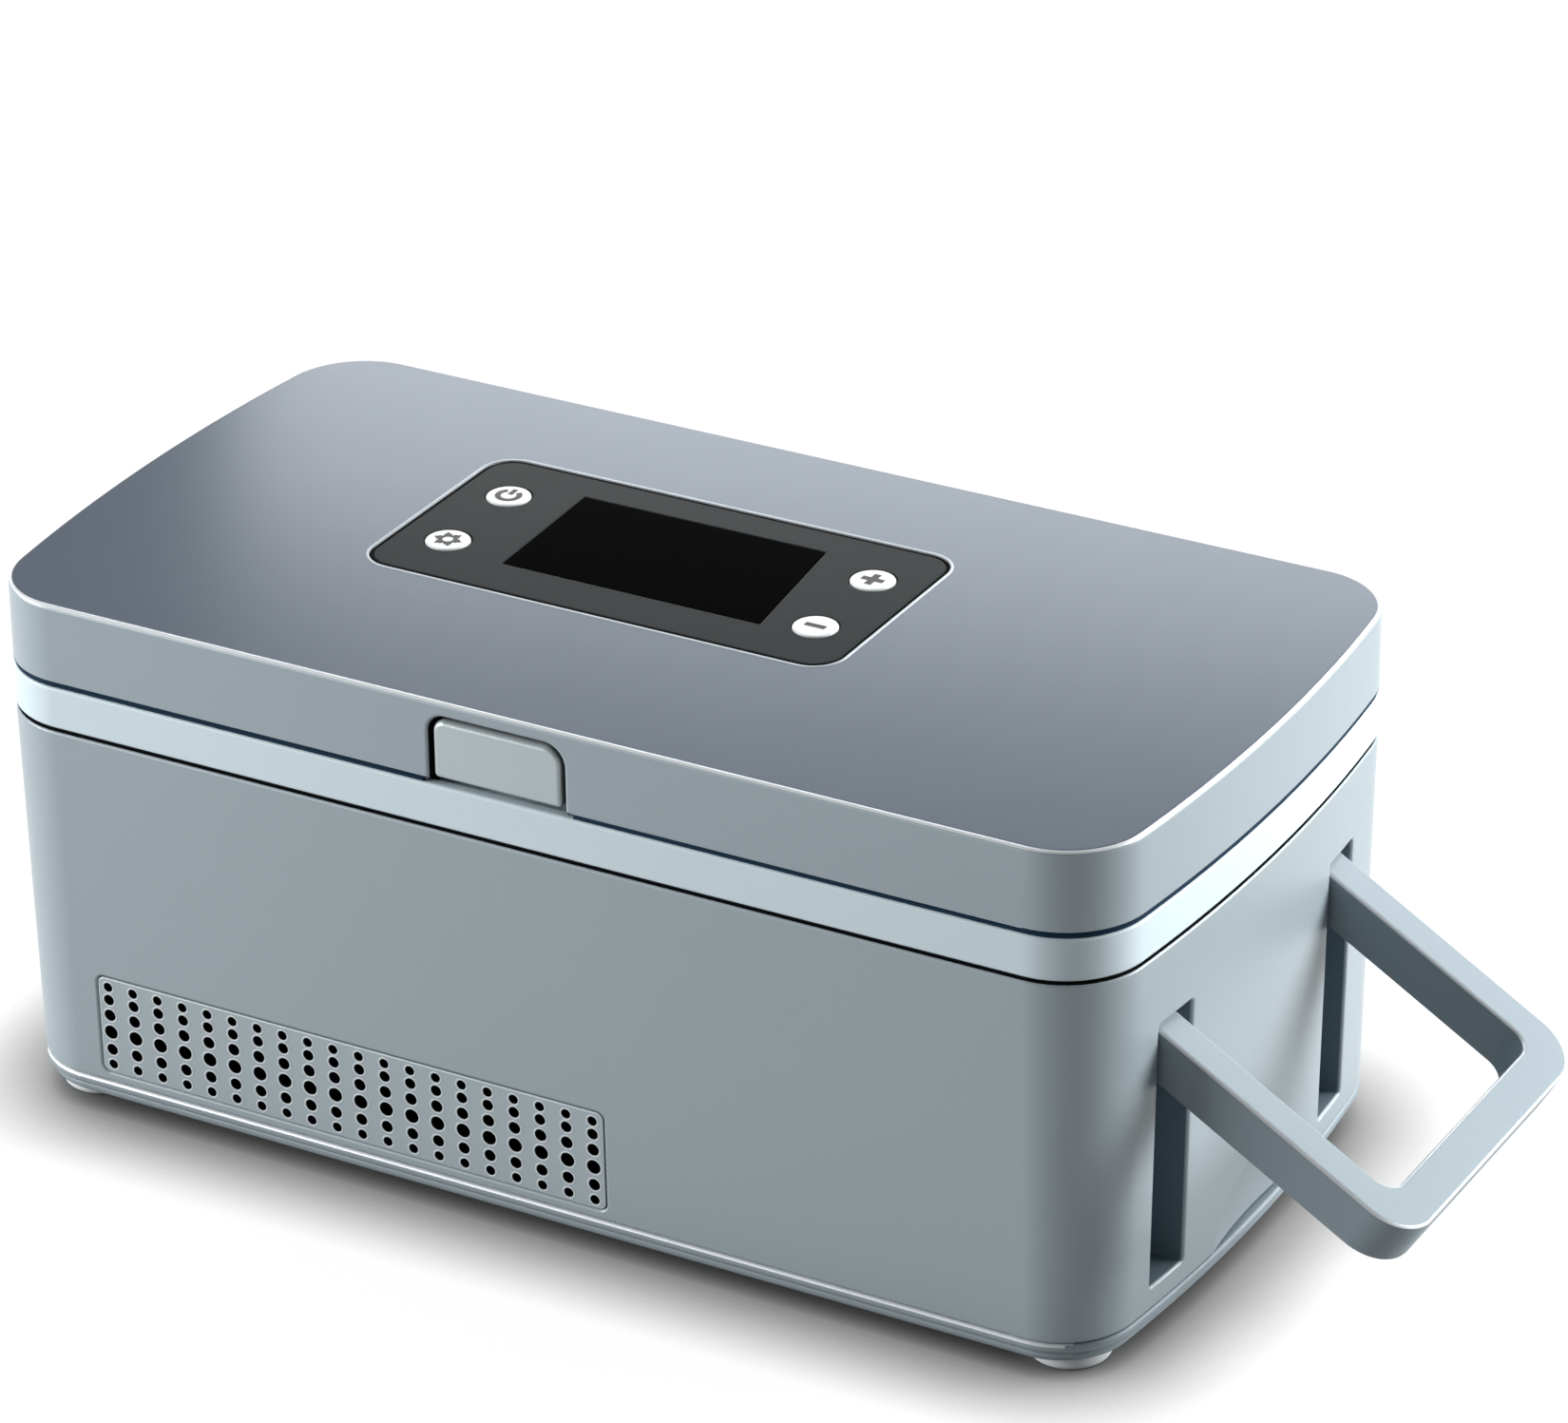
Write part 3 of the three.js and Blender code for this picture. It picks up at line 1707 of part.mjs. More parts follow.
function makeDisplayBoard() {
  const plate = roundedBlock(
    0,
    0,
    display_board_length,
    display_board_width,
    board_corner,
    display_board_bottom,
    display_board_top,
  );
  const root = (display_board_bottom + display_board_top) / 2;
  const plunger_top = bezel_bottom - seat_gap - key_flange_thickness - key_travel - key_reserve;
  const switches = keys.flatMap(({ x, y }) => {
    const half = key_switch_size / 2;
    const body_top = display_board_top + key_switch_height;
    return [
      box(x - half, x + half, y - half, y + half, root, body_top),
      rodAlongZ(key_plunger_radius, x, y, root, plunger_top, pin_steps),
    ];
  });
  return join(plate, ...switches);
}

// One round key in its own frame: its centre line is the origin, heights as in the lid
function makeKey() {
  const flange_top = bezel_bottom - seat_gap;
  const flange_bottom = flange_top - key_flange_thickness;
  const top = lid_height + key_proud;
  const edge = key_proud;
  return turned(
    [
      [0, flange_bottom],
      [key_flange_radius, flange_bottom],
      [key_flange_radius, flange_top],
      [key_radius, flange_top],
      [key_radius, top - edge],
      [key_radius - edge, top],
      [0, top],
    ],
    fine_round_steps,
  );
}

// Latch, in the lid's frame

function makeLatchButton() {
  const cap = prismAlongY(latchOutline(0), latch_face_y, latch_cap_rear_y);
  const half = latch_body_width / 2;
  const body = box(
    latch_x - half,
    latch_x + half,
    latch_cap_rear_y - overrun,
    latch_body_rear_y,
    latch_body_rise,
    latch_body_top,
  );
  const hollow = box(
    latch_x - half + hook_thickness,
    latch_x + half - hook_thickness,
    latch_cap_rear_y,
    latch_body_rear_y - hook_thickness,
    latch_body_rise + hook_thickness,
    latch_body_top + overrun,
  );
  const hook_half = hook_width / 2;
  const arm = box(
    latch_x - hook_half,
    latch_x + hook_half,
    latch_body_rear_y - hook_thickness,
    hook_rear_y,
    latch_body_rise,
    latch_body_rise + hook_thickness,
  );
  const barb_bottom = -hook_drop;
  const barb_top = barb_bottom + barb_height;
  const hook = prismAlongX(
    [
      new THREE.Vector2(hook_rear_y, barb_bottom),
      new THREE.Vector2(hook_rear_y, latch_body_rise + overrun),
      new THREE.Vector2(latch_body_rear_y, latch_body_rise + overrun),
      new THREE.Vector2(latch_body_rear_y, barb_top),
      new THREE.Vector2(barb_tip_y, barb_top),
      new THREE.Vector2(latch_body_rear_y, barb_bottom),
    ],
    latch_x - hook_half,
    latch_x + hook_half,
  );
  return join(cut(join(cap, body), hollow), arm, hook);
}

// Two cheeks and a rear wall that guide the latch button and back its spring
function makeLatchGuide() {
  const notch_low = liner_plate_top + seat_gap;
  const top = lid_ceiling - seat_gap;
  const inner = latch_body_width / 2 + seat_gap;
  const outer = inner + guide_wall;
  const front = latch_cap_rear_y + latch_travel + seat_gap;
  const rear = guide_rear_y + guide_wall;
  const block = box(latch_x - outer, latch_x + outer, front, rear, notch_low, top);
  const room = box(
    latch_x - inner,
    latch_x + inner,
    front - overrun,
    guide_rear_y,
    notch_low - overrun,
    top - guide_wall,
  );
  return cut(block, room);
}

function makeLatchSpring() {
  const z = latch_body_rise + latch_body_height / 2;
  const start = latch_body_rear_y + seat_gap + spring_wire;
  const end = guide_rear_y - seat_gap - spring_wire;
  const points = Array.from({ length: spring_turns * spring_turn_steps + 1 }, (_, i) => {
    const angle = (2 * Math.PI * i) / spring_turn_steps;
    const share = i / (spring_turns * spring_turn_steps);
    return new THREE.Vector3(
      latch_x + spring_radius * Math.cos(angle),
      start + (end - start) * share,
      z + spring_radius * Math.sin(angle),
    );
  });
  const wire = arcPoints(0, 0, spring_wire, 0, 2 * Math.PI, spring_wire_steps).slice(1);
  return new THREE.ExtrudeGeometry(new THREE.Shape(wire), {
    steps: spring_turns * spring_turn_steps,
    extrudePath: new THREE.CatmullRomCurve3(points),
  });
}

// Finishes
const satin_grey = finish(0x97a3a8, 0.38, 0.25);
const lid_grey = finish(0x87919e, 0.35, 0.3);
const band_white = finish(0xcfe0e8, 0.45);
const silver_trim = finish(0xb9c4c9, 0.3, 0.6);
const handle_grey = finish(0x8b9ba3, 0.4, 0.15);
const clear_rubber = finish(0xb4bcc0, 0.5);
const panel_black = finish(0x464e4e, 0.25);
const screen_black = finish(0x060708, 0.1);
const key_white = finish(0xf4f6f6, 0.4);
const liner_metal = finish(0xc8ccce, 0.35, 0.9);
const sink_metal = finish(0xb0b4b6, 0.4, 0.9);
const steel = finish(0xa8acae, 0.3, 1);
const ceramic_white = finish(0xeceae4, 0.6);
const foam_white = finish(0xe6e8e6, 0.9);
const seal_rubber = finish(0x24313c, 0.8);
const fan_black = finish(0x1c1e20, 0.5);
const board_green = finish(0x1f5a3a, 0.5);
const wrap_blue = finish(0x2c4f86, 0.4);
const inner_plastic = finish(0xdde3e6, 0.5);
const inlet_black = finish(0x15171a, 0.4);

// Assembly
const cooling_case = new THREE.Group();

const case_body = new THREE.Group();
cooling_case.add(case_body);
addPart(case_body, "housing_shell", makeHousing(), satin_grey);
addPart(case_body, "rim_collar", makeCollar(), band_white);
addPart(case_body, "base_cover", makeBaseCover(), silver_trim);
corners.forEach((corner) => {
  addPart(case_body, "foot_" + corner.name, makeFoot(corner), clear_rubber);
  const head_z = foot_recess + seat_gap;
  const x = corner.x * foot_x;
  const y = corner.y * foot_y;
  const screw = makeScrew(x, y, head_z, screw_head_height, base_screw_length);
  addPart(case_body, "base_screw_" + corner.name, screw, steel);
});

const grille = addPart(case_body, "vent_grille", makeGrille(), satin_grey);
grille.position.set(cooler_x, grilleFaceY(), grille_centre_z);
grille.rotation.x = body_draft;

addPart(case_body, "handle_pin_front", makeHandlePin(-1), steel);
addPart(case_body, "handle_pin_rear", makeHandlePin(1), steel);
hingeSides().forEach(({ name, x }) => {
  addPart(case_body, "hinge_pin_" + name, makeHingePin(x), steel);
});
addPart(case_body, "catch_plate", makeCatchPlate(), steel);
addPart(case_body, "chamber_liner", makeChamberLiner(), liner_metal);
addPart(case_body, "chamber_insulation", makeChamberFoam(), foam_white);
addPart(case_body, "medicine_tray", makeMedicineTray(), inner_plastic);
addPart(
  case_body,
  "cold_block",
  squareBlock(cold_block_size, least_corner_radius, cold_block_bottom_z, cold_block_top_z),
  sink_metal,
);
addPart(
  case_body,
  "peltier_module",
  squareBlock(
    peltier_size,
    peltier_corner,
    peltier_bottom_z,
    peltier_bottom_z + peltier_thickness,
  ),
  ceramic_white,
);
addPart(case_body, "heat_sink", makeHeatSink(), sink_metal);
addPart(case_body, "temperature_probe", makeTemperatureProbe(), steel);
addPart(case_body, "control_board", makeControlBoard(), board_green);
addPart(case_body, "battery_pack", makeBatteryPack(), wrap_blue);
addPart(case_body, "battery_bracket", makeBatteryBracket(), steel);
addPart(case_body, "dc_inlet", makeInlet(), inlet_black);

const fan = new THREE.Group();
fan.position.set(cooler_x, 0, fan_bottom_z);
case_body.add(fan);
addPart(fan, "fan_frame", makeFanFrame(), fan_black);
addPart(fan, "fan_rotor", makeFanRotor(), fan_black);

const handle = addPart(case_body, "handle", makeHandle(), handle_grey);
handle.position.set(handle_pivot_x, handle_y, handle_pivot_z);
handle.rotation.y = handle_rest_angle;

const lid = new THREE.Group();
lid.position.z = lid_bottom_z;
cooling_case.add(lid);
addPart(lid, "lid_shell", makeLidShell(), lid_grey);
addPart(lid, "lid_liner", makeLidLiner(), inner_plastic);
addPart(lid, "lid_insulation", makeLidFoam(), foam_white);
addPart(lid, "lid_gasket", makeLidGasket(), seal_rubber);
corners.forEach((corner) => {
  const x = corner.x * lid_boss_x;
  const y = corner.y * lid_boss_y;
  const screw = makeScrew(x, y, liner_lift, lid_screw_head_height, lid_screw_length);
  addPart(lid, "lid_screw_" + corner.name, screw, steel);
});
addPart(lid, "latch_button", makeLatchButton(), lid_grey);
addPart(lid, "latch_guide", makeLatchGuide(), inner_plastic);
addPart(lid, "latch_spring", makeLatchSpring(), steel);

const panel = new THREE.Group();
panel.position.set(panel_x, panel_y, 0);
lid.add(panel);
addPart(panel, "display_bezel", makeBezel(), panel_black);
addPart(panel, "display_window", makeDisplayWindow(), screen_black);
addPart(panel, "lcd_module", makeLcdModule(), screen_black);
addPart(panel, "display_board", makeDisplayBoard(), board_green);
keys.forEach(({ name, x, y }) => {
  const key = addPart(panel, name, makeKey(), key_white);
  key.position.set(x, y, 0);
});

export default cooling_case;
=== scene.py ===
"""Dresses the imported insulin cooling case: smooth casings, finishes, studio and camera.

Lengths are metres. The origin is the middle of the base cover's underside, +X points to
the handle end and -Y to the face with the latch and the grille.
"""

import functools
import math

import bmesh
import bpy
from bpy.props import FloatProperty, FloatVectorProperty, PointerProperty
from mathutils import Matrix, Vector


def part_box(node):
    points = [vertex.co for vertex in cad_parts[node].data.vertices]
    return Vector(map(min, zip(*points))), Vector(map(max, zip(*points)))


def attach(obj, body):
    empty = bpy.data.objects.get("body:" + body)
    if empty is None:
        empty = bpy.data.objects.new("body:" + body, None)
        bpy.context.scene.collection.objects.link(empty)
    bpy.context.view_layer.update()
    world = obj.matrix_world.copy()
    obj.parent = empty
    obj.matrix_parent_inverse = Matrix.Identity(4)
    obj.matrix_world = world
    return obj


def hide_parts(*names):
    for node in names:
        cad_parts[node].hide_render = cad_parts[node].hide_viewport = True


bl_info = {
    "name": "Insulin cooling case",
    "version": (1, 0, 0),
    "blender": (4, 5, 0),
    "location": "3D View > Sidebar > Cooling case",
    "description": "Builds the outer shapes and finishes of a portable insulin cooling case",
    "category": "Object",
}

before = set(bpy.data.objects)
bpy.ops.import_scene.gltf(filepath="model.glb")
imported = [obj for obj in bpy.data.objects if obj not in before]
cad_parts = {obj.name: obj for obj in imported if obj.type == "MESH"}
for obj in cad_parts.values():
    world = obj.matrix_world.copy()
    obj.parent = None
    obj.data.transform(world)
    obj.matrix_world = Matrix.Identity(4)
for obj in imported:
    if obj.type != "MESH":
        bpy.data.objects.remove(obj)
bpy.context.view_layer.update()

MM = 0.001
QUARTER = math.pi / 2
CORNERS = ("front_left", "front_right", "rear_left", "rear_right")
HINGE_PINS = ("hinge_pin_left", "hinge_pin_right")

# Sizes that several pieces share
DRAFT = math.radians(1.1)
BAND_GROOVE = 0.7 * MM
BAND_HEIGHT = 9.2 * MM
LID_GAP = 0.8 * MM
ARM_WIDTH = 8.4 * MM
KNUCKLE_LENGTH = 9 * MM
KNUCKLE_PLAY = 0.4 * MM

# Rounded rectangles as length, width and corner radius
CHAMBER = (190 * MM, 92 * MM, 12 * MM)
PANEL = (108.6 * MM, 56.4 * MM, 6.8 * MM)
GRILLE = (119.8 * MM, 22.2 * MM, 1.5 * MM)


@functools.cache
def node_box(node):
    """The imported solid's low and high corners."""
    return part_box(node)


def node_low(node):
    return node_box(node)[0]


def node_high(node):
    return node_box(node)[1]


def node_middle(node):
    return [(low + high) / 2 for low, high in zip(*node_box(node))]


def srgb(red, green, blue):
    """A colour written as 0 to 255 values, as the linear values that shaders take."""
    linear = []
    for value in (red, green, blue):
        part = value / 255
        linear.append(part / 12.92 if part <= 0.04045 else ((part + 0.055) / 1.055) ** 2.4)
    return tuple(linear)


# Settings

def setting(name, description, default, **how):
    return FloatProperty(name=name, description=description, default=default, min=0.0, **how)


def length(name, description, default):
    return setting(name, description, default, unit="LENGTH", precision=5)


def share(name, description, default):
    return setting(name, description, default, max=1.0, subtype="FACTOR")


def power(name, description, default):
    return setting(name, description, default, unit="POWER")


def colour(name, description, *paint):
    return FloatVectorProperty(name=name, description=description, default=srgb(*paint), size=3,
                               min=0.0, max=1.0, subtype="COLOR")


class CaseSizes(bpy.types.PropertyGroup):
    end_bow: length("End bow", "How far each end bulges at its middle", 5 * MM)
    corner_radius: length("Corner radius", "Radius of the upright corners", 17.8 * MM)
    wall: length("Wall", "Thickness of the casings", 3 * MM)
    edge: length("Moulded edge", "Rounding of the body's edges", 0.7 * MM)
    lid_edge: length("Lid edge", "Rounding of the lid's top edge", 1.2 * MM)


class PanelSizes(bpy.types.PropertyGroup):
    seal: length("Panel seal", "Width of the black line round the panel", 0.9 * MM)
    left_lean: length("Left lean", "How far the screen's left end leans over", 1.4 * MM)
    right_lean: length("Right lean", "How far the screen's right end leans over", 4.3 * MM)
    icon_height: length("Icon height", "How far the key symbols stand up", 0.04 * MM)


class CaseColours(bpy.types.PropertyGroup):
    body: colour("Body", "Paint of the body", 150, 163, 169)
    lid: colour("Lid", "Paint of the lid's sides", 150, 163, 170)
    lid_top: colour("Lid top", "Paint of the lid's top", 93, 104, 117)
    band: colour("Band", "Pale band under the lid", 205, 221, 228)
    trim: colour("Trim", "Beads round the base", 138, 150, 156)
    handle: colour("Handle", "Plastic of the handle", 128, 142, 150)
    latch: colour("Latch", "Paint of the latch button", 176, 187, 190)
    # Painted shade: a darker colour for the insides of the handle slots, where shade falls in the
    # deep recesses
    slot: colour("Slot", "Dark inside of the handle slots", 98, 114, 123)
    # Painted shade: the blue-black colour stands for the shadow line under the lid
    seal: colour("Seal", "Blue-black lip under the lid", 12, 40, 60)
    grille: colour("Grille", "Paint of the vent grille", 158, 170, 176)
    # Painted highlight: light rings round the grille's holes and on its edges stand in for light on
    # their rims
    grille_hole_highlight: colour("Grille rims", "Light rims round the grille's holes", 206, 214, 218)
    # The lip is a raised rim; its light colour is painted highlight
    panel_lip: colour("Panel lip", "Light lip round the display panel", 176, 184, 190)
    # Painted highlight: a bright colour for rounded edges, standing in for the light they catch
    edge: colour("Bright edges", "Highlight-painted edges of the casings", 232, 237, 240)
    panel: colour("Panel", "Printed display panel", 36, 40, 41)
    key: colour("Key", "White keys", 224, 228, 230)
    foot: colour("Foot", "Pale soft feet", 190, 200, 206)


class StudioSettings(bpy.types.PropertyGroup):
    sky: share("Sky", "Brightness of the even light all round", 0.15)
    left_lamp: power("Left lamp", "Power of the lamp at the front left", 22.0)
    right_lamp: power("Right lamp", "Power of the lamp at the handle end", 31.0)
    rear_lamp: power("Rear lamp", "Power of the low lamp behind the case", 0.45)
    back_lamp: power("Back lamp", "Power of the lamp behind the handle", 6.0)
    top_lamp: power("Top lamp", "Power of the lamp above the case", 4.0)
    floor_bounce: share("Floor bounce", "How light the floor is for the light it throws back", 0.22)
    floor_seen: share("Floor tone", "How much of the lamps' light the floor shows", 0.13)
    floor_glow: share("Floor glow", "How white the floor shows by itself", 0.92)
    shadow_reach: length("Shadow reach", "Width of the soft shadow round the case", 24 * MM)
    lens: length("Lens", "Focal length of the camera", 157.0 * MM)


# Outlines

def arc(centre_x, centre_y, radius, start, end, steps):
    points = []
    for i in range(steps + 1):
        angle = start + (end - start) * i / steps
        points.append((centre_x + radius * math.cos(angle), centre_y + radius * math.sin(angle)))
    return points


def quarter_turns(steps, first=0):
    """The angles of a quarter turn in equal steps."""
    return [QUARTER * i / steps for i in range(first, steps + 1)]


def without_repeats(points):
    return [point for i, point in enumerate(points) if math.dist(point, points[i - 1]) > 1e-6]


def end_curve():
    """The radius and the middle of the bowed end, seen from above."""
    half_length, half_width = node_high("housing_shell").xy
    bow = bpy.context.scene.cooling_case.end_bow
    radius = (half_width**2 + bow**2) / (2 * bow)
    return radius, half_length - radius


def case_outline(inset, corner_steps=14, bow_steps=24):
    """The case seen from above, moved inwards by inset."""
    radius, centre_x = end_curve()
    corner = max(bpy.context.scene.cooling_case.corner_radius - inset, 1.5 * MM)
    radius -= inset
    corner_y = node_high("housing_shell").y - inset - corner
    corner_x = centre_x + math.sqrt((radius - corner) ** 2 - corner_y**2)
    turn = math.atan2(corner_y, corner_x - centre_x)
    handle_end = [
        *arc(corner_x, -corner_y, corner, -QUARTER, -turn, corner_steps),
        *arc(centre_x, 0, radius, -turn, turn, bow_steps),
        *arc(corner_x, corner_y, corner, turn, QUARTER, corner_steps),
    ]
    return without_repeats(handle_end + [(-x, -y) for x, y in handle_end])


def rounded_rectangle(size_x, size_y, radius, steps=8, x=0.0, y=0.0):
    points = []
    for i, (side_x, side_y) in enumerate(((1, 1), (-1, 1), (-1, -1), (1, -1))):
        points += arc(x + side_x * (size_x / 2 - radius), y + side_y * (size_y / 2 - radius),
                      radius, i * QUARTER, (i + 1) * QUARTER, steps)
    return without_repeats(points)


def grown_rectangle(shape, grow=0.0, steps=8, x=0.0, y=0.0):
    """A rounded rectangle of a length, width and corner radius, grown on every side."""
    size_x, size_y, radius = shape
    return rounded_rectangle(size_x + 2 * grow, size_y + 2 * grow, radius + grow, steps, x, y)


def circle(x, y, radius, steps=32):
    return arc(x, y, radius, 0, 2 * math.pi, steps)[:-1]


# Meshes

def make_object(name, points, faces):
    mesh = bpy.data.meshes.new(name)
    mesh.from_pydata([tuple(p) for p in points], [], faces)
    work = bmesh.new()
    work.from_mesh(mesh)
    bmesh.ops.recalc_face_normals(work, faces=work.faces)
    work.to_mesh(mesh)
    work.free()
    mesh.validate()
    made = bpy.data.objects.new(name, mesh)
    bpy.context.scene.collection.objects.link(made)
    return made


def ring_faces(levels, count, ring_shaped, start=0):
    """Faces through rings of count points, whose first point has the number start."""
    faces = []
    for level in range(levels if ring_shaped else levels - 1):
        here = start + level * count
        above = start + (level + 1) % levels * count
        for i in range(count):
            j = (i + 1) % count
            faces.append((here + i, here + j, above + j, above + i))
    if not ring_shaped:
        last = start + (levels - 1) * count
        faces += [tuple(reversed(range(start, start + count))), tuple(range(last, last + count))]
    return faces


def loft(name, rings, ring_shaped=False):
    """A solid through closed rings with the same number of points.

    With ring_shaped, the last ring joins the first, which makes a wall round an opening.
    """
    points = [point for ring in rings for point in ring]
    return make_object(name, points, ring_faces(len(rings), len(rings[0]), ring_shaped))


def level_ring(outline, z):
    return [(x, y, z) for x, y in outline]


def stack(outline, levels):
    """Level rings of an outline that is drawn by its inset, from inset and height pairs."""
    return [level_ring(outline(inset), z) for inset, z in levels]


def hoop(name, outline, outer, inner, low, high):
    """A square-edged wall between two insets of an outline."""
    return loft(name, stack(outline, [(outer, low), (outer, high), (inner, high), (inner, low)]),
                ring_shaped=True)


def prism(name, outline, low, high):
    return loft(name, [level_ring(outline, low), level_ring(outline, high)])


def prism_along_y(name, outline, low, high):
    """A prism along Y on an outline in X and Z."""
    return loft(name, [[(x, y, z) for x, z in outline] for y in (low, high)])


def prism_along_x(name, outline, low, high):
    """A prism along X on an outline in Y and Z."""
    return loft(name, [[(x, y, z) for y, z in outline] for x in (low, high)])


def bar(x0, x1, y0, y1):
    return [(x0, y0), (x1, y0), (x1, y1), (x0, y1)]


def block(name, low, high):
    return prism(name, bar(low[0], high[0], low[1], high[1]), low[2], high[2])


def turned(name, profile, steps=48):
    """A solid turned round Z from radius and height pairs."""
    return loft(name, [level_ring(circle(0, 0, radius, steps), z) for radius, z in profile])


def bake(made):
    """Keeps what the modifiers make, and drops the modifiers."""
    graph = bpy.context.evaluated_depsgraph_get()
    mesh = bpy.data.meshes.new_from_object(made.evaluated_get(graph))
    made.modifiers.clear()
    old = made.data
    made.data = mesh
    mesh.name = made.name
    bpy.data.meshes.remove(old)
    return made


def combine(made, tools, operation):
    for tool in tools:
        step = made.modifiers.new("step", "BOOLEAN")
        step.operation = operation
        step.solver = "EXACT"
        step.object = tool
        bake(made)
        bpy.data.objects.remove(tool)
    return made


def cut(made, *tools):
    return combine(made, tools, "DIFFERENCE")


def join(made, *others):
    return combine(made, others, "UNION")


def move(made, matrix):
    made.data.transform(matrix)
    made.data.update()
    return made


def soften(made, width=0.0, segments=2, angle=30):
    """Rounds the edges sharper than angle, and shades the rest flat or smooth as it lies."""
    if width > 0:
        edge = made.modifiers.new("edge", "BEVEL")
        edge.width = width
        edge.segments = segments
        edge.limit_method = "ANGLE"
        edge.angle_limit = math.radians(angle)
        edge.use_clamp_overlap = False
        edge.miter_outer = "MITER_ARC"
        bake(made)
    made.data.shade_smooth()
    made.data.set_sharp_from_angle(angle=math.radians(50))
    even = made.modifiers.new("even", "WEIGHTED_NORMAL")
    even.keep_sharp = True
    return bake(made)


def finish_piece(made, body, slot, finish, *replaced):
    """Gives a piece its finish, lets it ride on its body and hides what it stands for."""
    made.data.materials.clear()
    made.data.materials.append(finishes()[finish])
    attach(made, body)
    if replaced:
        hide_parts(*replaced)
    return made


def paint_where(made, finish, test):
    """A second finish on the faces whose middle and normal pass the test."""
    made.data.materials.append(finishes()[finish])
    index = len(made.data.materials) - 1
    for face in made.data.polygons:
        if test(face.center, face.normal):
            face.material_index = index


# Finishes

def once(make):
    """Makes a material or a node group only where none has its name."""
    @functools.wraps(make)
    def kept_or_made(name, *values, **details):
        kept = bpy.data.materials.get(name) or bpy.data.node_groups.get(name)
        return kept or make(name, *values, **details)
    return kept_or_made


def feed(node, **values):
    """Sets or links a node's sockets, whose names are written with _ for each space."""
    for label, value in values.items():
        socket = node.inputs[label.replace("_", " ")]
        if isinstance(value, bpy.types.NodeSocket):
            node.id_data.links.new(value, socket)
        else:
            socket.default_value = value


def new_node(tree, kind, **values):
    node = tree.nodes.new("ShaderNode" + kind)
    feed(node, **values)
    return node


def object_place(tree):
    return new_node(tree, "TexCoord").outputs["Object"]


def noise(tree, place, scale, detail=2.0):
    return new_node(tree, "TexNoise", Vector=place, Scale=scale, Detail=detail).outputs["Fac"]


def math_node(tree, operation, first, second):
    node = new_node(tree, "Math")
    node.operation = operation
    for socket, value in zip(node.inputs, (first, second)):
        if isinstance(value, (int, float)):
            socket.default_value = value
        else:
            tree.links.new(value, socket)
    return node.outputs[0]


def centred(tree, value, spread):
    """A texture's value moved to spread round zero."""
    return math_node(tree, "MULTIPLY", math_node(tree, "SUBTRACT", value, 0.5), spread)


def patchy(tree, middle, texture, spread):
    """A value that varies round its middle."""
    return math_node(tree, "ADD", middle, centred(tree, texture, spread))


def tint(tree, base, amount):
    """The base colour made lighter or darker by an amount round zero."""
    node = new_node(tree, "VectorMath")
    node.operation = "SCALE"
    tree.links.new(base, node.inputs[0])
    feed(node, Scale=math_node(tree, "ADD", amount, 1.0))
    return node.outputs[0]


def bump(tree, height, strength, distance):
    node = new_node(tree, "Bump", Height=height, Strength=strength, Distance=distance)
    return node.outputs["Normal"]


def with_alpha(values):
    return (*values[:3], 1.0)


def mixed_colour(tree, factor, first, second):
    node = new_node(tree, "Mix")
    node.data_type = "RGBA"
    feed(node, Factor=factor, A=with_alpha(first), B=with_alpha(second))
    return node.outputs["Result"]


def new_group(name, **inputs):
    """A node group for surfaces, with a base colour and numbers as its inputs."""
    group = bpy.data.node_groups.new(name, "ShaderNodeTree")
    sockets = [("INPUT", "Colour", "Color", (0.5, 0.5, 0.5, 1))]
    sockets += [("INPUT", label.replace("_", " "), "Float", default)
                for label, default in inputs.items()]
    sockets += [("OUTPUT", "Colour", "Color", None), ("OUTPUT", "Roughness", "Float", None),
                ("OUTPUT", "Normal", "Vector", None)]
    for side, label, kind, default in sockets:
        socket = group.interface.new_socket(label, in_out=side, socket_type="NodeSocket" + kind)
        if default is not None:
            socket.default_value = default
    given = group.nodes.new("NodeGroupInput").outputs
    return group, given, group.nodes.new("NodeGroupOutput")


@once
def moulded_grain(name):
    """Cloudy tone, fine flecks and a fine grain, for paint and moulded plastic."""
    group, given, result = new_group(name, Clouds=0.03, Flecks=0.05, Roughness=0.4,
                                     Roughness_spread=0.06, Grain=0.1)
    place = object_place(group)
    tone = math_node(group, "ADD",
                     centred(group, noise(group, place, 22, 3), given["Clouds"]),
                     centred(group, noise(group, place, 3800, 1), given["Flecks"]))
    feed(result, Colour=tint(group, given["Colour"], tone),
         Roughness=patchy(group, given["Roughness"], noise(group, place, 60, 3),
                          given["Roughness spread"]),
         Normal=bump(group, noise(group, place, 2400, 2), given["Grain"], 0.06 * MM))
    return group


@once
def drawn_lines(name):
    """Fine parallel lines along X, for drawn, brushed and extruded metal."""
    group, given, result = new_group(name, Lines=0.12, Roughness=0.35, Depth=0.2)
    stretch = new_node(group, "Mapping", Vector=object_place(group), Scale=(0.02, 1.0, 1.0))
    lines = noise(group, stretch.outputs[0], 2600, 2)
    amount = centred(group, lines, given["Lines"])
    feed(result, Colour=tint(group, given["Colour"], amount),
         Roughness=math_node(group, "ADD", given["Roughness"], amount),
         Normal=bump(group, lines, given["Depth"], 0.05 * MM))
    return group


def new_material(name):
    """A material with its node tree and its shader."""
    material = bpy.data.materials.new(name)
    material.use_nodes = True
    return material, material.node_tree, material.node_tree.nodes["Principled BSDF"]


def use_group(tree, shader, group, base, **values):
    node = new_node(tree, "Group")
    node.node_tree = group
    feed(node, Colour=with_alpha(base), **values)
    feed(shader, Base_Color=node.outputs["Colour"], Roughness=node.outputs["Roughness"],
         Normal=node.outputs["Normal"])


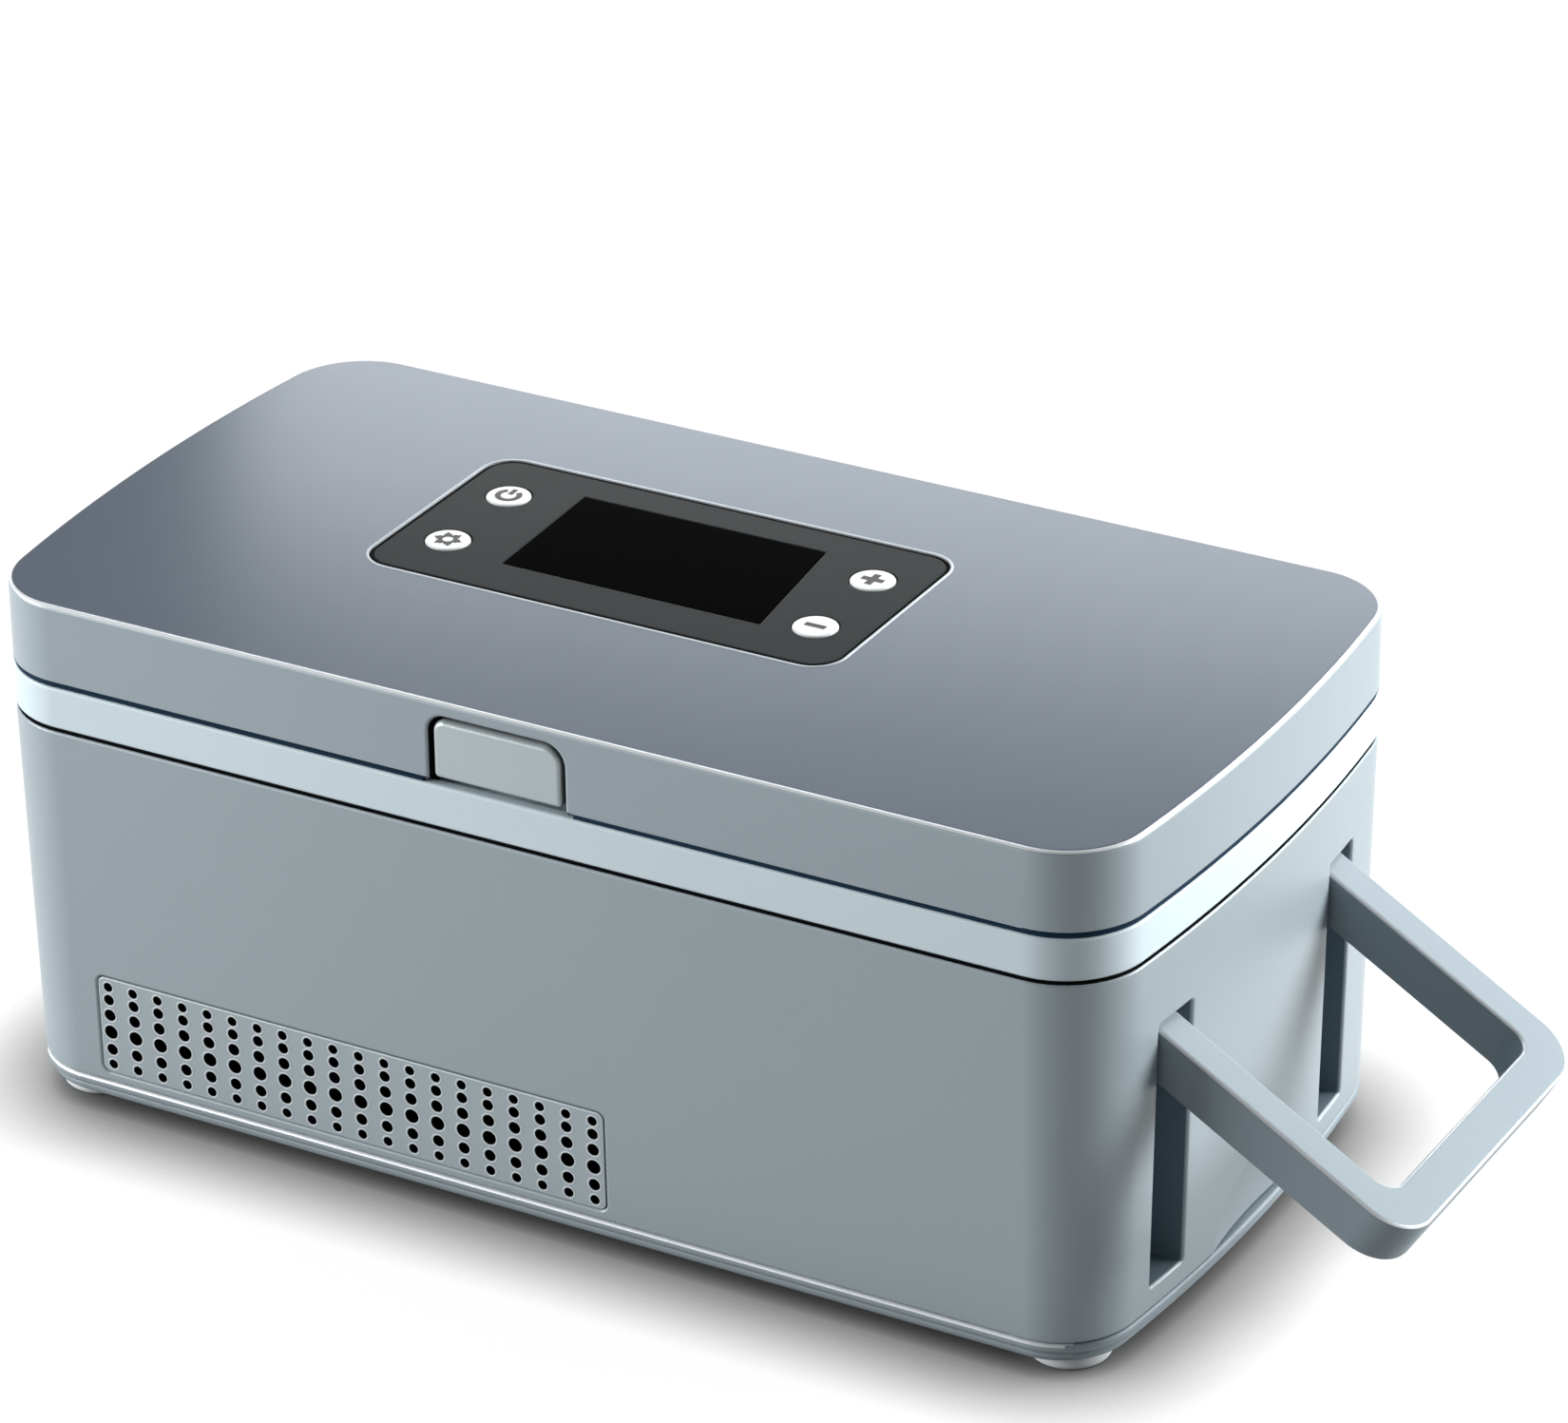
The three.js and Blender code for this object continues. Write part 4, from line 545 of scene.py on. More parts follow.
@once
def moulded(name, base, roughness, metallic=0.0, clouds=0.03, flecks=0.04, spread=0.05,
            grain=0.1, coat=0.0, coat_roughness=0.1, index=1.5, clear=0.0):
    """Paint or moulded plastic."""
    material, tree, shader = new_material(name)
    feed(shader, Metallic=metallic, Coat_Weight=coat, Coat_Roughness=coat_roughness, IOR=index,
         Transmission_Weight=clear)
    use_group(tree, shader, moulded_grain("moulded_grain"), base, Clouds=clouds, Flecks=flecks,
              Roughness=roughness, Roughness_spread=spread, Grain=grain)
    return material


@once
def drawn_metal(name, base, roughness, lines=0.12, depth=0.2):
    """Drawn, brushed or extruded metal."""
    material, tree, shader = new_material(name)
    feed(shader, Metallic=1.0)
    use_group(tree, shader, drawn_lines("drawn_lines"), base, Lines=lines, Roughness=roughness,
              Depth=depth)
    return material


@once
def screen_glass(name, base):
    """Dark display with the faint grid of its picture cells under gloss."""
    material, tree, shader = new_material(name)
    place = object_place(tree)
    cells = new_node(tree, "TexVoronoi", Vector=place, Scale=900, Randomness=0.0)
    cells.distance = "CHEBYCHEV"
    patches = noise(tree, place, 240, 2)
    amount = math_node(tree, "MULTIPLY", cells.outputs["Distance"], patches)
    feed(shader, Base_Color=mixed_colour(tree, amount, base, [value * 3 for value in base]),
         Roughness=patchy(tree, 0.25, patches, 0.05), IOR=1.02)
    return material


@once
def foam(name, base):
    """Closed-cell foam with small beads."""
    material, tree, shader = new_material(name)
    place = object_place(tree)
    beads = new_node(tree, "TexVoronoi", Vector=place, Scale=320).outputs["Distance"]
    feed(shader, Base_Color=mixed_colour(tree, beads, base, [value * 0.82 for value in base]),
         Roughness=patchy(tree, 0.8, noise(tree, place, 500, 1), 0.1),
         Normal=bump(tree, beads, 0.4, 0.2 * MM))
    return material


@once
def circuit_board(name, base):
    """Solder mask over thin tracks."""
    material, tree, shader = new_material(name)
    place = object_place(tree)
    tracks = new_node(tree, "TexBrick", Vector=place, Scale=150, Mortar_Size=0.03,
                      Color1=with_alpha(base), Color2=with_alpha([value * 1.25 for value in base]),
                      Mortar=with_alpha([value * 2.2 for value in base]))
    feed(shader, Base_Color=tracks.outputs["Color"],
         Roughness=patchy(tree, 0.35, noise(tree, place, 200, 2), 0.15))
    return material


def finishes():
    """Every finish of the case by its use."""
    c = bpy.context.scene.cooling_colours
    coated = {"flecks": 0.06, "coat": 0.1, "coat_roughness": 0.25}
    return {
        "body": moulded("body_paint", c.body, 0.38, metallic=0.06, **coated),
        "lid": moulded("lid_paint", c.lid, 0.36, metallic=0.06, **coated),
        "lid_top": moulded("lid_top_paint", c.lid_top, 0.3, metallic=0.35, flecks=0.06,
                           coat=0.15, coat_roughness=0.2),
        "band": moulded("band_plastic", c.band, 0.42, clouds=0.02, flecks=0.015),
        "trim": moulded("trim_paint", c.trim, 0.38, metallic=0.1, flecks=0.05),
        "handle": moulded("handle_plastic", c.handle, 0.5, metallic=0.05, flecks=0.05),
        "latch": moulded("latch_paint", c.latch, 0.34, metallic=0.25, flecks=0.06, coat=0.1),
        # slot: painted shade inside the handle slots
        "slot": moulded("slot_plastic", c.slot, 0.5, grain=0.2),
        "grille": moulded("grille_paint", c.grille, 0.36, metallic=0.2, flecks=0.05),
        # rim: painted highlight round the grille's holes and edges
        "rim": moulded("hole_rim", c.grille_hole_highlight, 0.3, flecks=0.03),
        # lip: painted highlight on the raised rim round the panel
        "lip": moulded("panel_lip_paint", c.panel_lip, 0.3, metallic=0.2, flecks=0.03),
        # seal: painted shade for the shadow line under the lid
        "seal": moulded("seal_lip", c.seal, 0.6, flecks=0.02, index=1.2),
        # edge: painted highlight on rounded edges
        "edge": moulded("bright_edge", c.edge, 0.3, metallic=0.3, flecks=0.03),
        # gap: black rubber for the real seals, and painted shade in gaps, holes and the groove
        "gap": moulded("gap_rubber", srgb(9, 12, 14), 0.8, flecks=0.02, index=1.15),
        "panel": moulded("panel_print", c.panel, 0.34, clouds=0.02, flecks=0.03, grain=0.02,
                         index=1.12),
        "screen": screen_glass("screen", srgb(2, 2, 3)),
        "key": moulded("key_plastic", c.key, 0.35, clouds=0.01, flecks=0.01),
        "ink": moulded("key_ink", srgb(16, 18, 19), 0.4, flecks=0.02),
        "foot": moulded("foot_rubber", c.foot, 0.45, clear=0.25, flecks=0.02),
        "liner": drawn_metal("liner_metal", srgb(205, 209, 211), 0.3),
        "fins": drawn_metal("fin_metal", srgb(186, 190, 193), 0.38),
        "steel": drawn_metal("steel", srgb(178, 181, 184), 0.28, lines=0.08),
        "ceramic": moulded("ceramic", srgb(236, 234, 228), 0.55),
        "foam": foam("foam", srgb(232, 234, 232)),
        "inner": moulded("inner_plastic", srgb(224, 229, 232), 0.42, flecks=0.015),
        "tray": moulded("tray_plastic", srgb(214, 222, 228), 0.36, flecks=0.015),
        "black": moulded("black_plastic", srgb(24, 26, 28), 0.45, flecks=0.04, grain=0.2),
        "board": circuit_board("board", srgb(22, 84, 52)),
        "wrap": moulded("cell_wrap", srgb(40, 78, 132), 0.3, clouds=0.08, flecks=0.02),
    }


# Case body

def body_inset(z):
    return (node_high("housing_shell").z - z) * math.tan(DRAFT)


def end_wall_x(point):
    """Where the end wall's outer face stands beside a point."""
    radius, centre_x = end_curve()
    return centre_x + math.sqrt(radius**2 - point.y**2) - body_inset(point.z)


def slot_boxes():
    """Both handle slots as low and high corners, out past the end wall."""
    play, width, pin_radius, eye_room = 0.6 * MM, 12.4 * MM, 1.5 * MM, 5.8 * MM
    near_x = node_high("handle_pin_front").x - pin_radius - eye_room
    far_x = node_high("housing_shell").x + 2 * MM
    return [(Vector((near_x, arm - play, 9.6 * MM)),
             Vector((far_x, arm - play + width, 68.3 * MM)))
            for arm in (node_low("handle").y, node_high("handle").y - ARM_WIDTH)]


def finger_scoop(low):
    """A shallow dish standing on the body's bottom edge at the handle end."""
    depth, half_width, height = 1.7 * MM, 20 * MM, 15 * MM
    below, above, beside = 0.1, 1.15, 1.2
    rows, columns = 15, 32
    outside = node_high("housing_shell").x + 4 * MM
    rings = []
    for i in range(rows + 1):
        up = (below + above) * i / rows - below
        z = low + height * up
        ring = [(outside, beside * half_width, z), (outside, -beside * half_width, z)]
        for j in range(columns + 1):
            across = 2 * beside * j / columns - beside
            y = half_width * across
            dish = depth * (1 - across**2 - up**2)
            ring.append((end_wall_x(Vector((0, y, z))) - dish, y, z))
        rings.append(ring)
    return loft("scoop", rings)


class CASE_OT_body(bpy.types.Operator):
    """Painted body shell with its handle slots, grille window, inlet hole and finger scoop"""

    bl_idname = "cooling_case.body"
    bl_label = "Body shell"

    def execute(self, context):
        sizes = context.scene.cooling_case
        low = node_low("housing_shell").z
        high = node_high("housing_shell").z
        wall = sizes.wall
        skin = 1.8 * MM
        slots = slot_boxes()
        body = loft("body_shell", stack(case_outline, [
            (body_inset(low), low), (0, high), (wall, high), (body_inset(low) + wall, low),
        ]), ring_shaped=True)
        pockets = []
        for slot_low, slot_high in slots:
            limit = loft("pocket_limit", stack(case_outline, [
                (body_inset(z) + 0.5 * wall, z) for z in (low - wall, high + wall)]))
            pocket = block("pocket", slot_low - Vector((skin, skin, skin)),
                           slot_high + Vector((0, skin, skin)))
            pockets.append(combine(pocket, [limit], "INTERSECT"))
        join(body, *pockets)
        grille_low, grille_high = node_box("vent_grille")
        window = grown_rectangle(GRILLE, 0.2 * MM, x=node_middle("vent_grille")[0],
                                 y=grille_middle().z)
        inlet_x, _, inlet_z = node_middle("dc_inlet")
        rear = node_high("dc_inlet").y
        cut(body, *[block("slot", *slot) for slot in slots],
            prism_along_y("window", window, grille_low.y - 4 * MM, grille_high.y + 4 * MM),
            prism_along_y("inlet_hole", circle(inlet_x, inlet_z, 4.9 * MM, 40),
                          rear - 6 * MM, rear + 4 * MM),
            finger_scoop(low))
        soften(body, sizes.edge, 3)
        finish_piece(body, "case", "case_grey", "body", "housing_shell")
        near = 0.2 * MM

        # The faces inside the handle slots take the darker slot colour as painted shade.
        def in_shaded_slot(point, normal):
            return any(
                slot_low.x - near <= point.x <= end_wall_x(point) - 0.8 * MM
                and slot_low.y - near <= point.y <= slot_high.y + near
                and slot_low.z - near <= point.z <= slot_high.z + near
                for slot_low, slot_high in slots
            )

        paint_where(body, "slot", in_shaded_slot)
        # Painted shade: the body's top faces under the band are painted black, and a black ring
        # fills the groove, where shade lies between body and band.
        paint_where(body, "gap",
                    lambda point, normal: normal.z > 0.75 and point.z > high - sizes.edge)
        groove = hoop("groove_seal", case_outline, 0.9 * MM, wall, high + 0.05 * MM,
                      high + 0.65 * MM)
        finish_piece(soften(groove), "case", "seal_rubber", "gap")
        return {"FINISHED"}


class CASE_OT_band(bpy.types.Operator):
    """Pale band round the top of the body, with the deck round the chamber"""

    bl_idname = "cooling_case.band"
    bl_label = "Rim band"

    def execute(self, context):
        wall = context.scene.cooling_case.wall
        low = node_high("housing_shell").z + BAND_GROOVE
        high = low + BAND_HEIGHT
        band = soften(hoop("rim_band", case_outline, 0, wall, low, high), 0.7 * MM, 3)
        finish_piece(band, "case", "band_white", "band", "rim_collar")
        deck_high = high - 0.7 * MM
        deck_low = deck_high - 2 * MM
        deck = prism("rim_deck", case_outline(wall - 0.3 * MM), deck_low, deck_high)
        opening = prism("opening", grown_rectangle(CHAMBER, steps=12), deck_low - MM,
                        deck_high + MM)
        hook_slot = block("hook_slot", (-11 * MM, -61.9 * MM, deck_low - MM),
                          (MM, -55 * MM, node_high("latch_button").z))
        cut(deck, opening, hook_slot)
        finish_piece(soften(deck, 0.4 * MM), "case", "band_white", "band")
        add_knuckles("case", "band_white", "band", -1)
        return {"FINISHED"}


def add_knuckles(body, slot, finish, up):
    """The hinge knuckles with their webs; up is 1 on the lid and -1 on the case."""
    spans = []
    for pin in HINGE_PINS:
        start, end = node_low(pin).x, node_high(pin).x
        if up > 0:
            inside = KNUCKLE_LENGTH + KNUCKLE_PLAY
            spans.append((start + inside, end - inside))
        else:
            spans += [(start, start + KNUCKLE_LENGTH), (end - KNUCKLE_LENGTH, end)]
    _, y, z = node_middle(HINGE_PINS[0])
    radius = node_high("rim_collar").y - y
    wall_y = node_high("housing_shell").y - 0.5 * MM
    first = -QUARTER if up > 0 else QUARTER
    round_side = arc(y, z, radius, first, first + up * 1.25 * math.pi, 24)
    near = z + up * 0.55 * MM
    outline = without_repeats([(wall_y, near), (y - radius * 0.9, near), *round_side,
                               (wall_y, z + up * 8 * MM)])
    for i, (x0, x1) in enumerate(spans):
        made = soften(prism_along_x(f"{body}_knuckle_{i + 1}", outline, x0, x1), 0.4 * MM, 2, 40)
        finish_piece(made, body, slot, finish)


class CASE_OT_base(bpy.types.Operator):
    """Base cover with its two beads and intake slots, and the four feet"""

    bl_idname = "cooling_case.base"
    bl_label = "Base and feet"

    def execute(self, context):
        upper = body_inset(node_low("housing_shell").z)
        lower = upper + 1.1 * MM
        top = node_low("housing_shell").z - 0.3 * MM
        middle = 2.15 * MM
        bead = 0.7 * MM
        levels = [(lower + 6 * MM, 0.0)]
        for inset, start, end in ((lower, 0, middle), (upper, middle, top)):
            for angle in [math.pi * i / 6 for i in range(7)]:
                levels.append((inset + bead - bead * math.sin(angle),
                               start + (end - start) * (1 - math.cos(angle)) / 2))
        levels += [(upper + 3 * MM, top), (upper + 3 * MM, 2.4 * MM)]
        cover = loft("base_trim", stack(case_outline, levels))
        fan_x = node_middle("fan_frame")[0]
        fan_reach, slot_pitch, slot_width = 25.2 * MM, 7.5 * MM, 3.2 * MM
        slots = []
        for i in range(-3, 4):
            offset = i * slot_pitch
            reach = 2 * math.sqrt(fan_reach**2 - offset**2)
            outline = rounded_rectangle(reach, slot_width, 1.5 * MM, 6, fan_x, offset)
            slots.append(prism("intake", outline, -MM, 5 * MM))
        cut(cover, *slots)
        soften(cover, 0.15 * MM, 2, 40)
        finish_piece(cover, "case", "trim_silver", "trim", "base_cover")
        end_x = 118 * MM
        # Painted highlight: the upward faces of the upper bead take the bright edge colour.
        paint_where(cover, "edge",
                    lambda point, normal: normal.z > 0.35 and point.z > middle + 0.3 * MM)
        paint_where(cover, "body", lambda point, normal: point.x > end_x)
        # Painted shade: the upward faces at the handle end take the darker handle colour, which
        # dulls their highlight.
        paint_where(cover, "handle",
                    lambda point, normal: point.x > end_x and normal.z > 0.15)
        for corner in CORNERS:
            add_foot("foot_" + corner)
        return {"FINISHED"}


def add_foot(node):
    low, high = node_box(node)
    radius = (high.y - low.y) / 2
    height = high.z - low.z
    edge, step, axis = 1.6 * MM, 0.6 * MM, 0.1 * MM
    profile = [(axis, 0), (radius - edge, 0)]
    profile += [(radius - edge + edge * math.sin(angle), edge * (1 - math.cos(angle)))
                for angle in quarter_turns(6, 1)]
    profile += [(radius, height - 1.3 * MM), (radius - step, height - step),
                (radius - step, height), (axis, height)]
    x, y, _ = node_middle(node)
    foot = move(turned(node + "_pad", profile), Matrix.Translation((x, y, low.z)))
    finish_piece(soften(foot), "case", "foot_rubber", "foot", node)


def grille_middle():
    x, _, _ = node_middle("vent_grille")
    return Vector((x, node_low("vent_grille").y, 18.1 * MM))


def round_rings(name, holes, levels, ring_shaped, steps=24):
    """One turned ring or plug per hole, from (extra radius, depth) levels in millimetres."""
    points = []
    faces = []
    for x, rise, radius in holes:
        faces += ring_faces(len(levels), steps, ring_shaped, len(points))
        for extra, depth in levels:
            points += [(a * MM, depth * MM, b * MM)
                       for a, b in circle(x, rise, radius + extra, steps)]
    return make_object(name, points, faces)


class CASE_OT_grille(bpy.types.Operator):
    """Vent grille with its rows of small round holes"""

    bl_idname = "cooling_case.grille"
    bl_label = "Vent grille"

    def execute(self, context):
        middle = grille_middle()
        front = -node_high("housing_shell").y + body_inset(middle.z) + 0.1 * MM
        place = Matrix.Translation((middle.x, front, middle.z))
        place = place @ Matrix.Rotation(DRAFT, 4, "X")
        plate = soften(prism_along_y("vent_plate", grown_rectangle(GRILLE), 0.0, 2.4 * MM),
                       0.25 * MM)
        columns, pitch = 20, 6.05
        rows = [(9, 1.05), (6, 1.2), (2.4, 1.32), (-1.6, 1.55), (-5.7, 1.28), (-9.2, 1.05)]
        holes = [((column - (columns - 1) / 2) * pitch, rise, radius)
                 for column in range(columns) for rise, radius in rows]
        cut(plate, round_rings("punches", holes, [(0, -0.3), (0, 3.0)], False))
        finish_piece(soften(plate), "case", "case_grey", "grille", "vent_grille")
        # Painted shade: the walls of the holes are painted black.
        paint_where(plate, "gap",
                    lambda point, normal: normal.y > -0.6 and abs(point.x) < 59 * MM
                    and abs(point.z) < 10.6 * MM)
        # Painted highlight: the plate's front edge bevels take the light rim colour.
        paint_where(plate, "rim",
                    lambda point, normal: -0.97 < normal.y < -0.1 and point.y < 0.3 * MM)
        move(plate, place)
        # Thin light rings round the holes, as painted highlight.
        rim_highlights = round_rings("vent_eyelets", holes,
                              [(0.42, 0.05), (0.36, -0.04), (0.1, -0.06), (0.0, 0.05)], True)
        finish_piece(soften(rim_highlights), "case", "case_grey", "rim")
        move(rim_highlights, place)
        # A dark sheet behind the holes, as painted shade.
        screen = prism_along_y("vent_shade", rounded_rectangle(117 * MM, 19 * MM, MM),
                               2.6 * MM, 3.0 * MM)
        move(screen, place)
        finish_piece(soften(screen), "case", "seal_rubber", "gap")
        return {"FINISHED"}


def bail_section(outer, inner, half_height):
    """The handle's rounded cross-section between an outer and an inner point."""
    width = math.dist(outer, inner)
    edge = min(0.8 * MM, 0.8 * half_height)
    ring = []
    for across, z in rounded_rectangle(width, 2 * half_height, edge, 4):
        part = across / width + 0.5
        ring.append((outer[0] + (inner[0] - outer[0]) * part,
                     outer[1] + (inner[1] - outer[1]) * part, z))
    return ring


class CASE_OT_handle(bpy.types.Operator):
    """Fold-out handle, rounded on every edge"""

    bl_idname = "cooling_case.handle"
    bl_label = "Handle"

    def execute(self, context):
        low, high = node_box("handle")
        half = (high.y - low.y) / 2
        pivot_x, _, pivot_z = node_middle("handle_pin_front")
        reach, bar_width, depth = 63.2 * MM, 9 * MM, 10.4 * MM
        eye = depth / 2
        eye_turns = [math.radians(a) for a in (174, 162, 150, 138, 126, 114, 102)]
        steps = 14

        def front_side(side, end, corner):
            """One edge of the front arm, from its eye to the middle of the bar."""
            return [*[(eye * math.cos(a), -side) for a in eye_turns], (0, -side),
                    (reach / 2, -side),
                    *arc(end - corner, -side + corner, corner, -QUARTER, 0, steps)]

        outer_side = front_side(half, reach, 10 * MM)
        inner_side = front_side(half - ARM_WIDTH, reach - bar_width, 4.6 * MM)
        heights = [eye * math.sin(a) for a in eye_turns] + [eye] * (steps + 3)
        outer_side += [(x, -y) for x, y in reversed(outer_side)]
        inner_side += [(x, -y) for x, y in reversed(inner_side)]
        heights += heights[::-1]
        made = loft("fold_out_handle", [
            bail_section(*station) for station in zip(outer_side, inner_side, heights)
        ])
        cut(made, prism_along_y("bore", circle(0, 0, 1.8 * MM, 24), -half - MM, half + MM))
        finish_piece(soften(made), "handle", "handle_grey", "handle", "handle")
        # Painted highlight: the upper edge bevels of the bar and arms take the bright edge colour.
        paint_where(made, "edge",
                    lambda point, normal: 0.45 < normal.z < 0.9 and point.x > eye)
        below_level = math.radians(31)
        move(made, Matrix.Translation((pivot_x, node_middle("handle")[1], pivot_z))
             @ Matrix.Rotation(below_level, 4, "Y"))
        return {"FINISHED"}


# Lid

def lid_base():
    """Height of the lid's bottom edge."""
    return node_high("housing_shell").z + BAND_GROOVE + BAND_HEIGHT + LID_GAP


def lid_top():
    return node_high("display_bezel").z


def latch_outline(extra, steps=10):
    """The latch button in X and Z, or its opening where extra is more than zero."""
    low, high = node_box("latch_button")
    x0 = low.x - extra
    x1 = high.x + extra
    top = high.z + extra
    bottom = lid_base() - 2 * MM if extra > 0 else top - 12.8 * MM
    left = 2.8 * MM + extra
    right = 3.8 * MM + extra
    return [(x0, bottom), (x1, bottom), *arc(x1 - right, top - right, right, 0, QUARTER, steps),
            *arc(x0 + left, top - left, left, QUARTER, math.pi, steps)]


class CASE_OT_lid(bpy.types.Operator):
    """Lid shell with its rounded edge, panel recess, latch opening and hinge knuckles"""

    bl_idname = "cooling_case.lid"
    bl_label = "Lid shell"

    def execute(self, context):
        low = lid_base()
        high = lid_top()
        edge = context.scene.cooling_case.lid_edge
        seal = context.scene.cooling_panel.seal
        wall = 2.6 * MM
        front = -node_high("housing_shell").y
        x, y, _ = node_middle("display_bezel")

        def panel_outline(inset):
            return grown_rectangle(PANEL, -inset, 14, x, y)

        levels = [(wall, low), (0.25 * MM, low), (0, low + 0.25 * MM), (0, low + 0.6 * MM)]
        levels += [(edge * (1 - math.cos(angle)), high - edge * (1 - math.sin(angle)))
                   for angle in quarter_turns(8)]
        lid = loft("lid_shell_skin", stack(case_outline, levels + [(26 * MM, high)]))
        cut(lid, prism("hollow", case_outline(wall), low - MM, high - wall))
        join(lid, prism("well", rounded_rectangle(110 * MM, 57.8 * MM, 8 * MM, 8, x, y),
                        high - 4.3 * MM, high - 1.3 * MM))
        recess = prism("recess", panel_outline(-0.15 * MM), high - 2.5 * MM, high + MM)
        opening = prism("opening", rounded_rectangle(99 * MM, 44 * MM, 4 * MM, 8, x, y),
                        high - 6 * MM, high)
        hole_levels = ((1.9, -1.0), (1.75, 0.0), (1.3, 0.12), (1.0, 0.4), (0.9, 0.8), (0.9, 5.0))
        latch_hole = loft("latch_hole", [
            [(px, front + depth * MM, pz) for px, pz in latch_outline(extra * MM)]
            for extra, depth in hole_levels
        ])
        cut(lid, recess, opening, latch_hole)
        soften(lid, 0.35 * MM, 3, 45)
        finish_piece(lid, "lid", "lid_grey", "lid", "lid_shell")
        paint_where(lid, "lid_top",
                    lambda point, normal: normal.z > 0.6 and point.z > high - MM)
        # Painted shade: the lid's bottom edge is painted blue-black to widen the shadow line under
        # it.
        paint_where(lid, "seal",
                    lambda point, normal: normal.z < 0.2 and point.z < low + 0.5 * MM)
        # Painted highlight: the fillet round the lid's top takes the bright edge colour.
        paint_where(lid, "edge",
                    lambda point, normal: 0.5 < normal.z < 0.9 and point.z > high - edge)
        latch_low, latch_high = node_box("latch_button")

        # Painted shade: the walls of the gap round the latch are painted black.
        def in_shaded_latch_gap(point, normal):
            return (latch_low.x - 2 * MM < point.x < latch_high.x + 2 * MM
                    and front + 0.35 * MM < point.y < front + 5 * MM
                    and point.z < latch_high.z + 2 * MM and abs(normal.y) < 0.6)

        paint_where(lid, "gap", in_shaded_latch_gap)
        # A blue-black lip under the lid fills the gap above the band; it is partly a seal and
        # partly painted shade for the shadow line there.
        lip_low = low - 0.72 * MM
        lip = hoop("lid_lip", case_outline, 0.3 * MM, wall, lip_low, low - 0.02 * MM)
        cut(lip, block("hook_gap", (-22 * MM, front - MM, lip_low - MM),
                       (12 * MM, front + 6 * MM, low + MM)))
        finish_piece(soften(lip), "lid", "seal_rubber", "seal")
        # A black ring behind the latch gap, as painted shade.
        shade = prism_along_y("latch_shade", latch_outline(2 * MM), front + 2 * MM,
                              front + 2.5 * MM)
        cut(shade, prism_along_y("shade_hole", latch_outline(0.15 * MM), front, front + 4 * MM))
        finish_piece(soften(shade), "lid", "seal_rubber", "gap")
        add_knuckles("lid", "lid_grey", "lid", 1)
        ring = hoop("panel_seal", panel_outline, 0, 2 * seal, high - 1.9 * MM, high - 0.35 * MM)
        finish_piece(soften(ring), "lid", "seal_rubber", "gap")
        # A raised lip round the panel, whose light colour is painted highlight along its rim.
        lip_levels = ((0.05, -0.6), (0.05, 0.02), (0.2, 0.08), (0.35, 0.1), (0.55, 0.08),
                      (0.65, 0.0), (0.65, -0.6))
        border = loft("panel_lip", stack(panel_outline, [
            (-grow * MM, high + rise * MM) for grow, rise in lip_levels]), ring_shaped=True)
        finish_piece(soften(border), "lid", "trim_silver", "lip")
        return {"FINISHED"}


class CASE_OT_latch(bpy.types.Operator):
    """Latch button with its hook"""

    bl_idname = "cooling_case.latch"
    bl_label = "Latch button"

    def execute(self, context):
        low, high = node_box("latch_button")
        front = low.y
        cap = prism_along_y("latch_cap", latch_outline(0), front + 0.2 * MM, front + 3 * MM)
        soften(cap, 1.1 * MM, 4, 50)
        middle = node_middle("latch_button")[0]
        crown = 0.18 * MM
        for vertex in cap.data.vertices:
            if vertex.co.y < front + 0.3 * MM:
                across = (vertex.co.x - middle) / (high.x - low.x) * 2
                vertex.co.y -= crown * max(0.0, 1 - across**2)
        finish_piece(cap, "latch", "lid_grey", "latch", "latch_button")
        hook_outline = [
            (y * MM, low.z + rise * MM) for y, rise in (
                (-59.5, 0), (-57.5, 0), (-57.5, 11.5), (-64.4, 11.5), (-64.4, 9.5),
                (-59.5, 9.5), (-59.5, 2.2), (-61.1, 2.2))
        ]
        hook = soften(prism_along_x("latch_hook", hook_outline, -10 * MM, 0.0), 0.25 * MM)
        finish_piece(hook, "latch", "lid_grey", "inner")
        return {"FINISHED"}


class CASE_OT_panel(bpy.types.Operator):
    """Display panel with its leaning screen"""

    bl_idname = "cooling_case.panel"
    bl_label = "Display panel"

    def execute(self, context):
        panel = context.scene.cooling_panel
        x, y, _ = node_middle("display_bezel")
        high = lid_top() - 0.05 * MM
        plate = prism("panel_plate", grown_rectangle(PANEL, -panel.seal, 14, x, y),
                      high - 2.1 * MM, high)
        low_end, high_end = node_box("display_window")
        outline = [(low_end.x + panel.left_lean, low_end.y), (high_end.x, low_end.y),
                   (high_end.x - panel.right_lean, high_end.y), (low_end.x, high_end.y)]
        openings = [("key_hole", circle(*node_middle(key)[:2], 4.95 * MM, 40)) for key in SYMBOLS]
        openings.append(("screen_hole", grown(outline, 0.12 * MM)))
        cut(plate, *[prism(name, hole, high - 4 * MM, high + MM) for name, hole in openings])
        soften(plate, 0.3 * MM, 2, 45)
        finish_piece(plate, "lid", "panel_gloss", "panel", "display_bezel")
        screen = prism("display_screen", outline, high - 2 * MM, high - 0.08 * MM)
        soften(screen, 0.12 * MM, 2, 45)
        finish_piece(screen, "lid", "screen_gloss", "screen", "display_window")
        return {"FINISHED"}


def grown(outline, extra):
    x, y = (sum(values) / len(outline) for values in zip(*outline))
    return [(px + math.copysign(extra, px - x), py + math.copysign(extra, py - y))
            for px, py in outline]


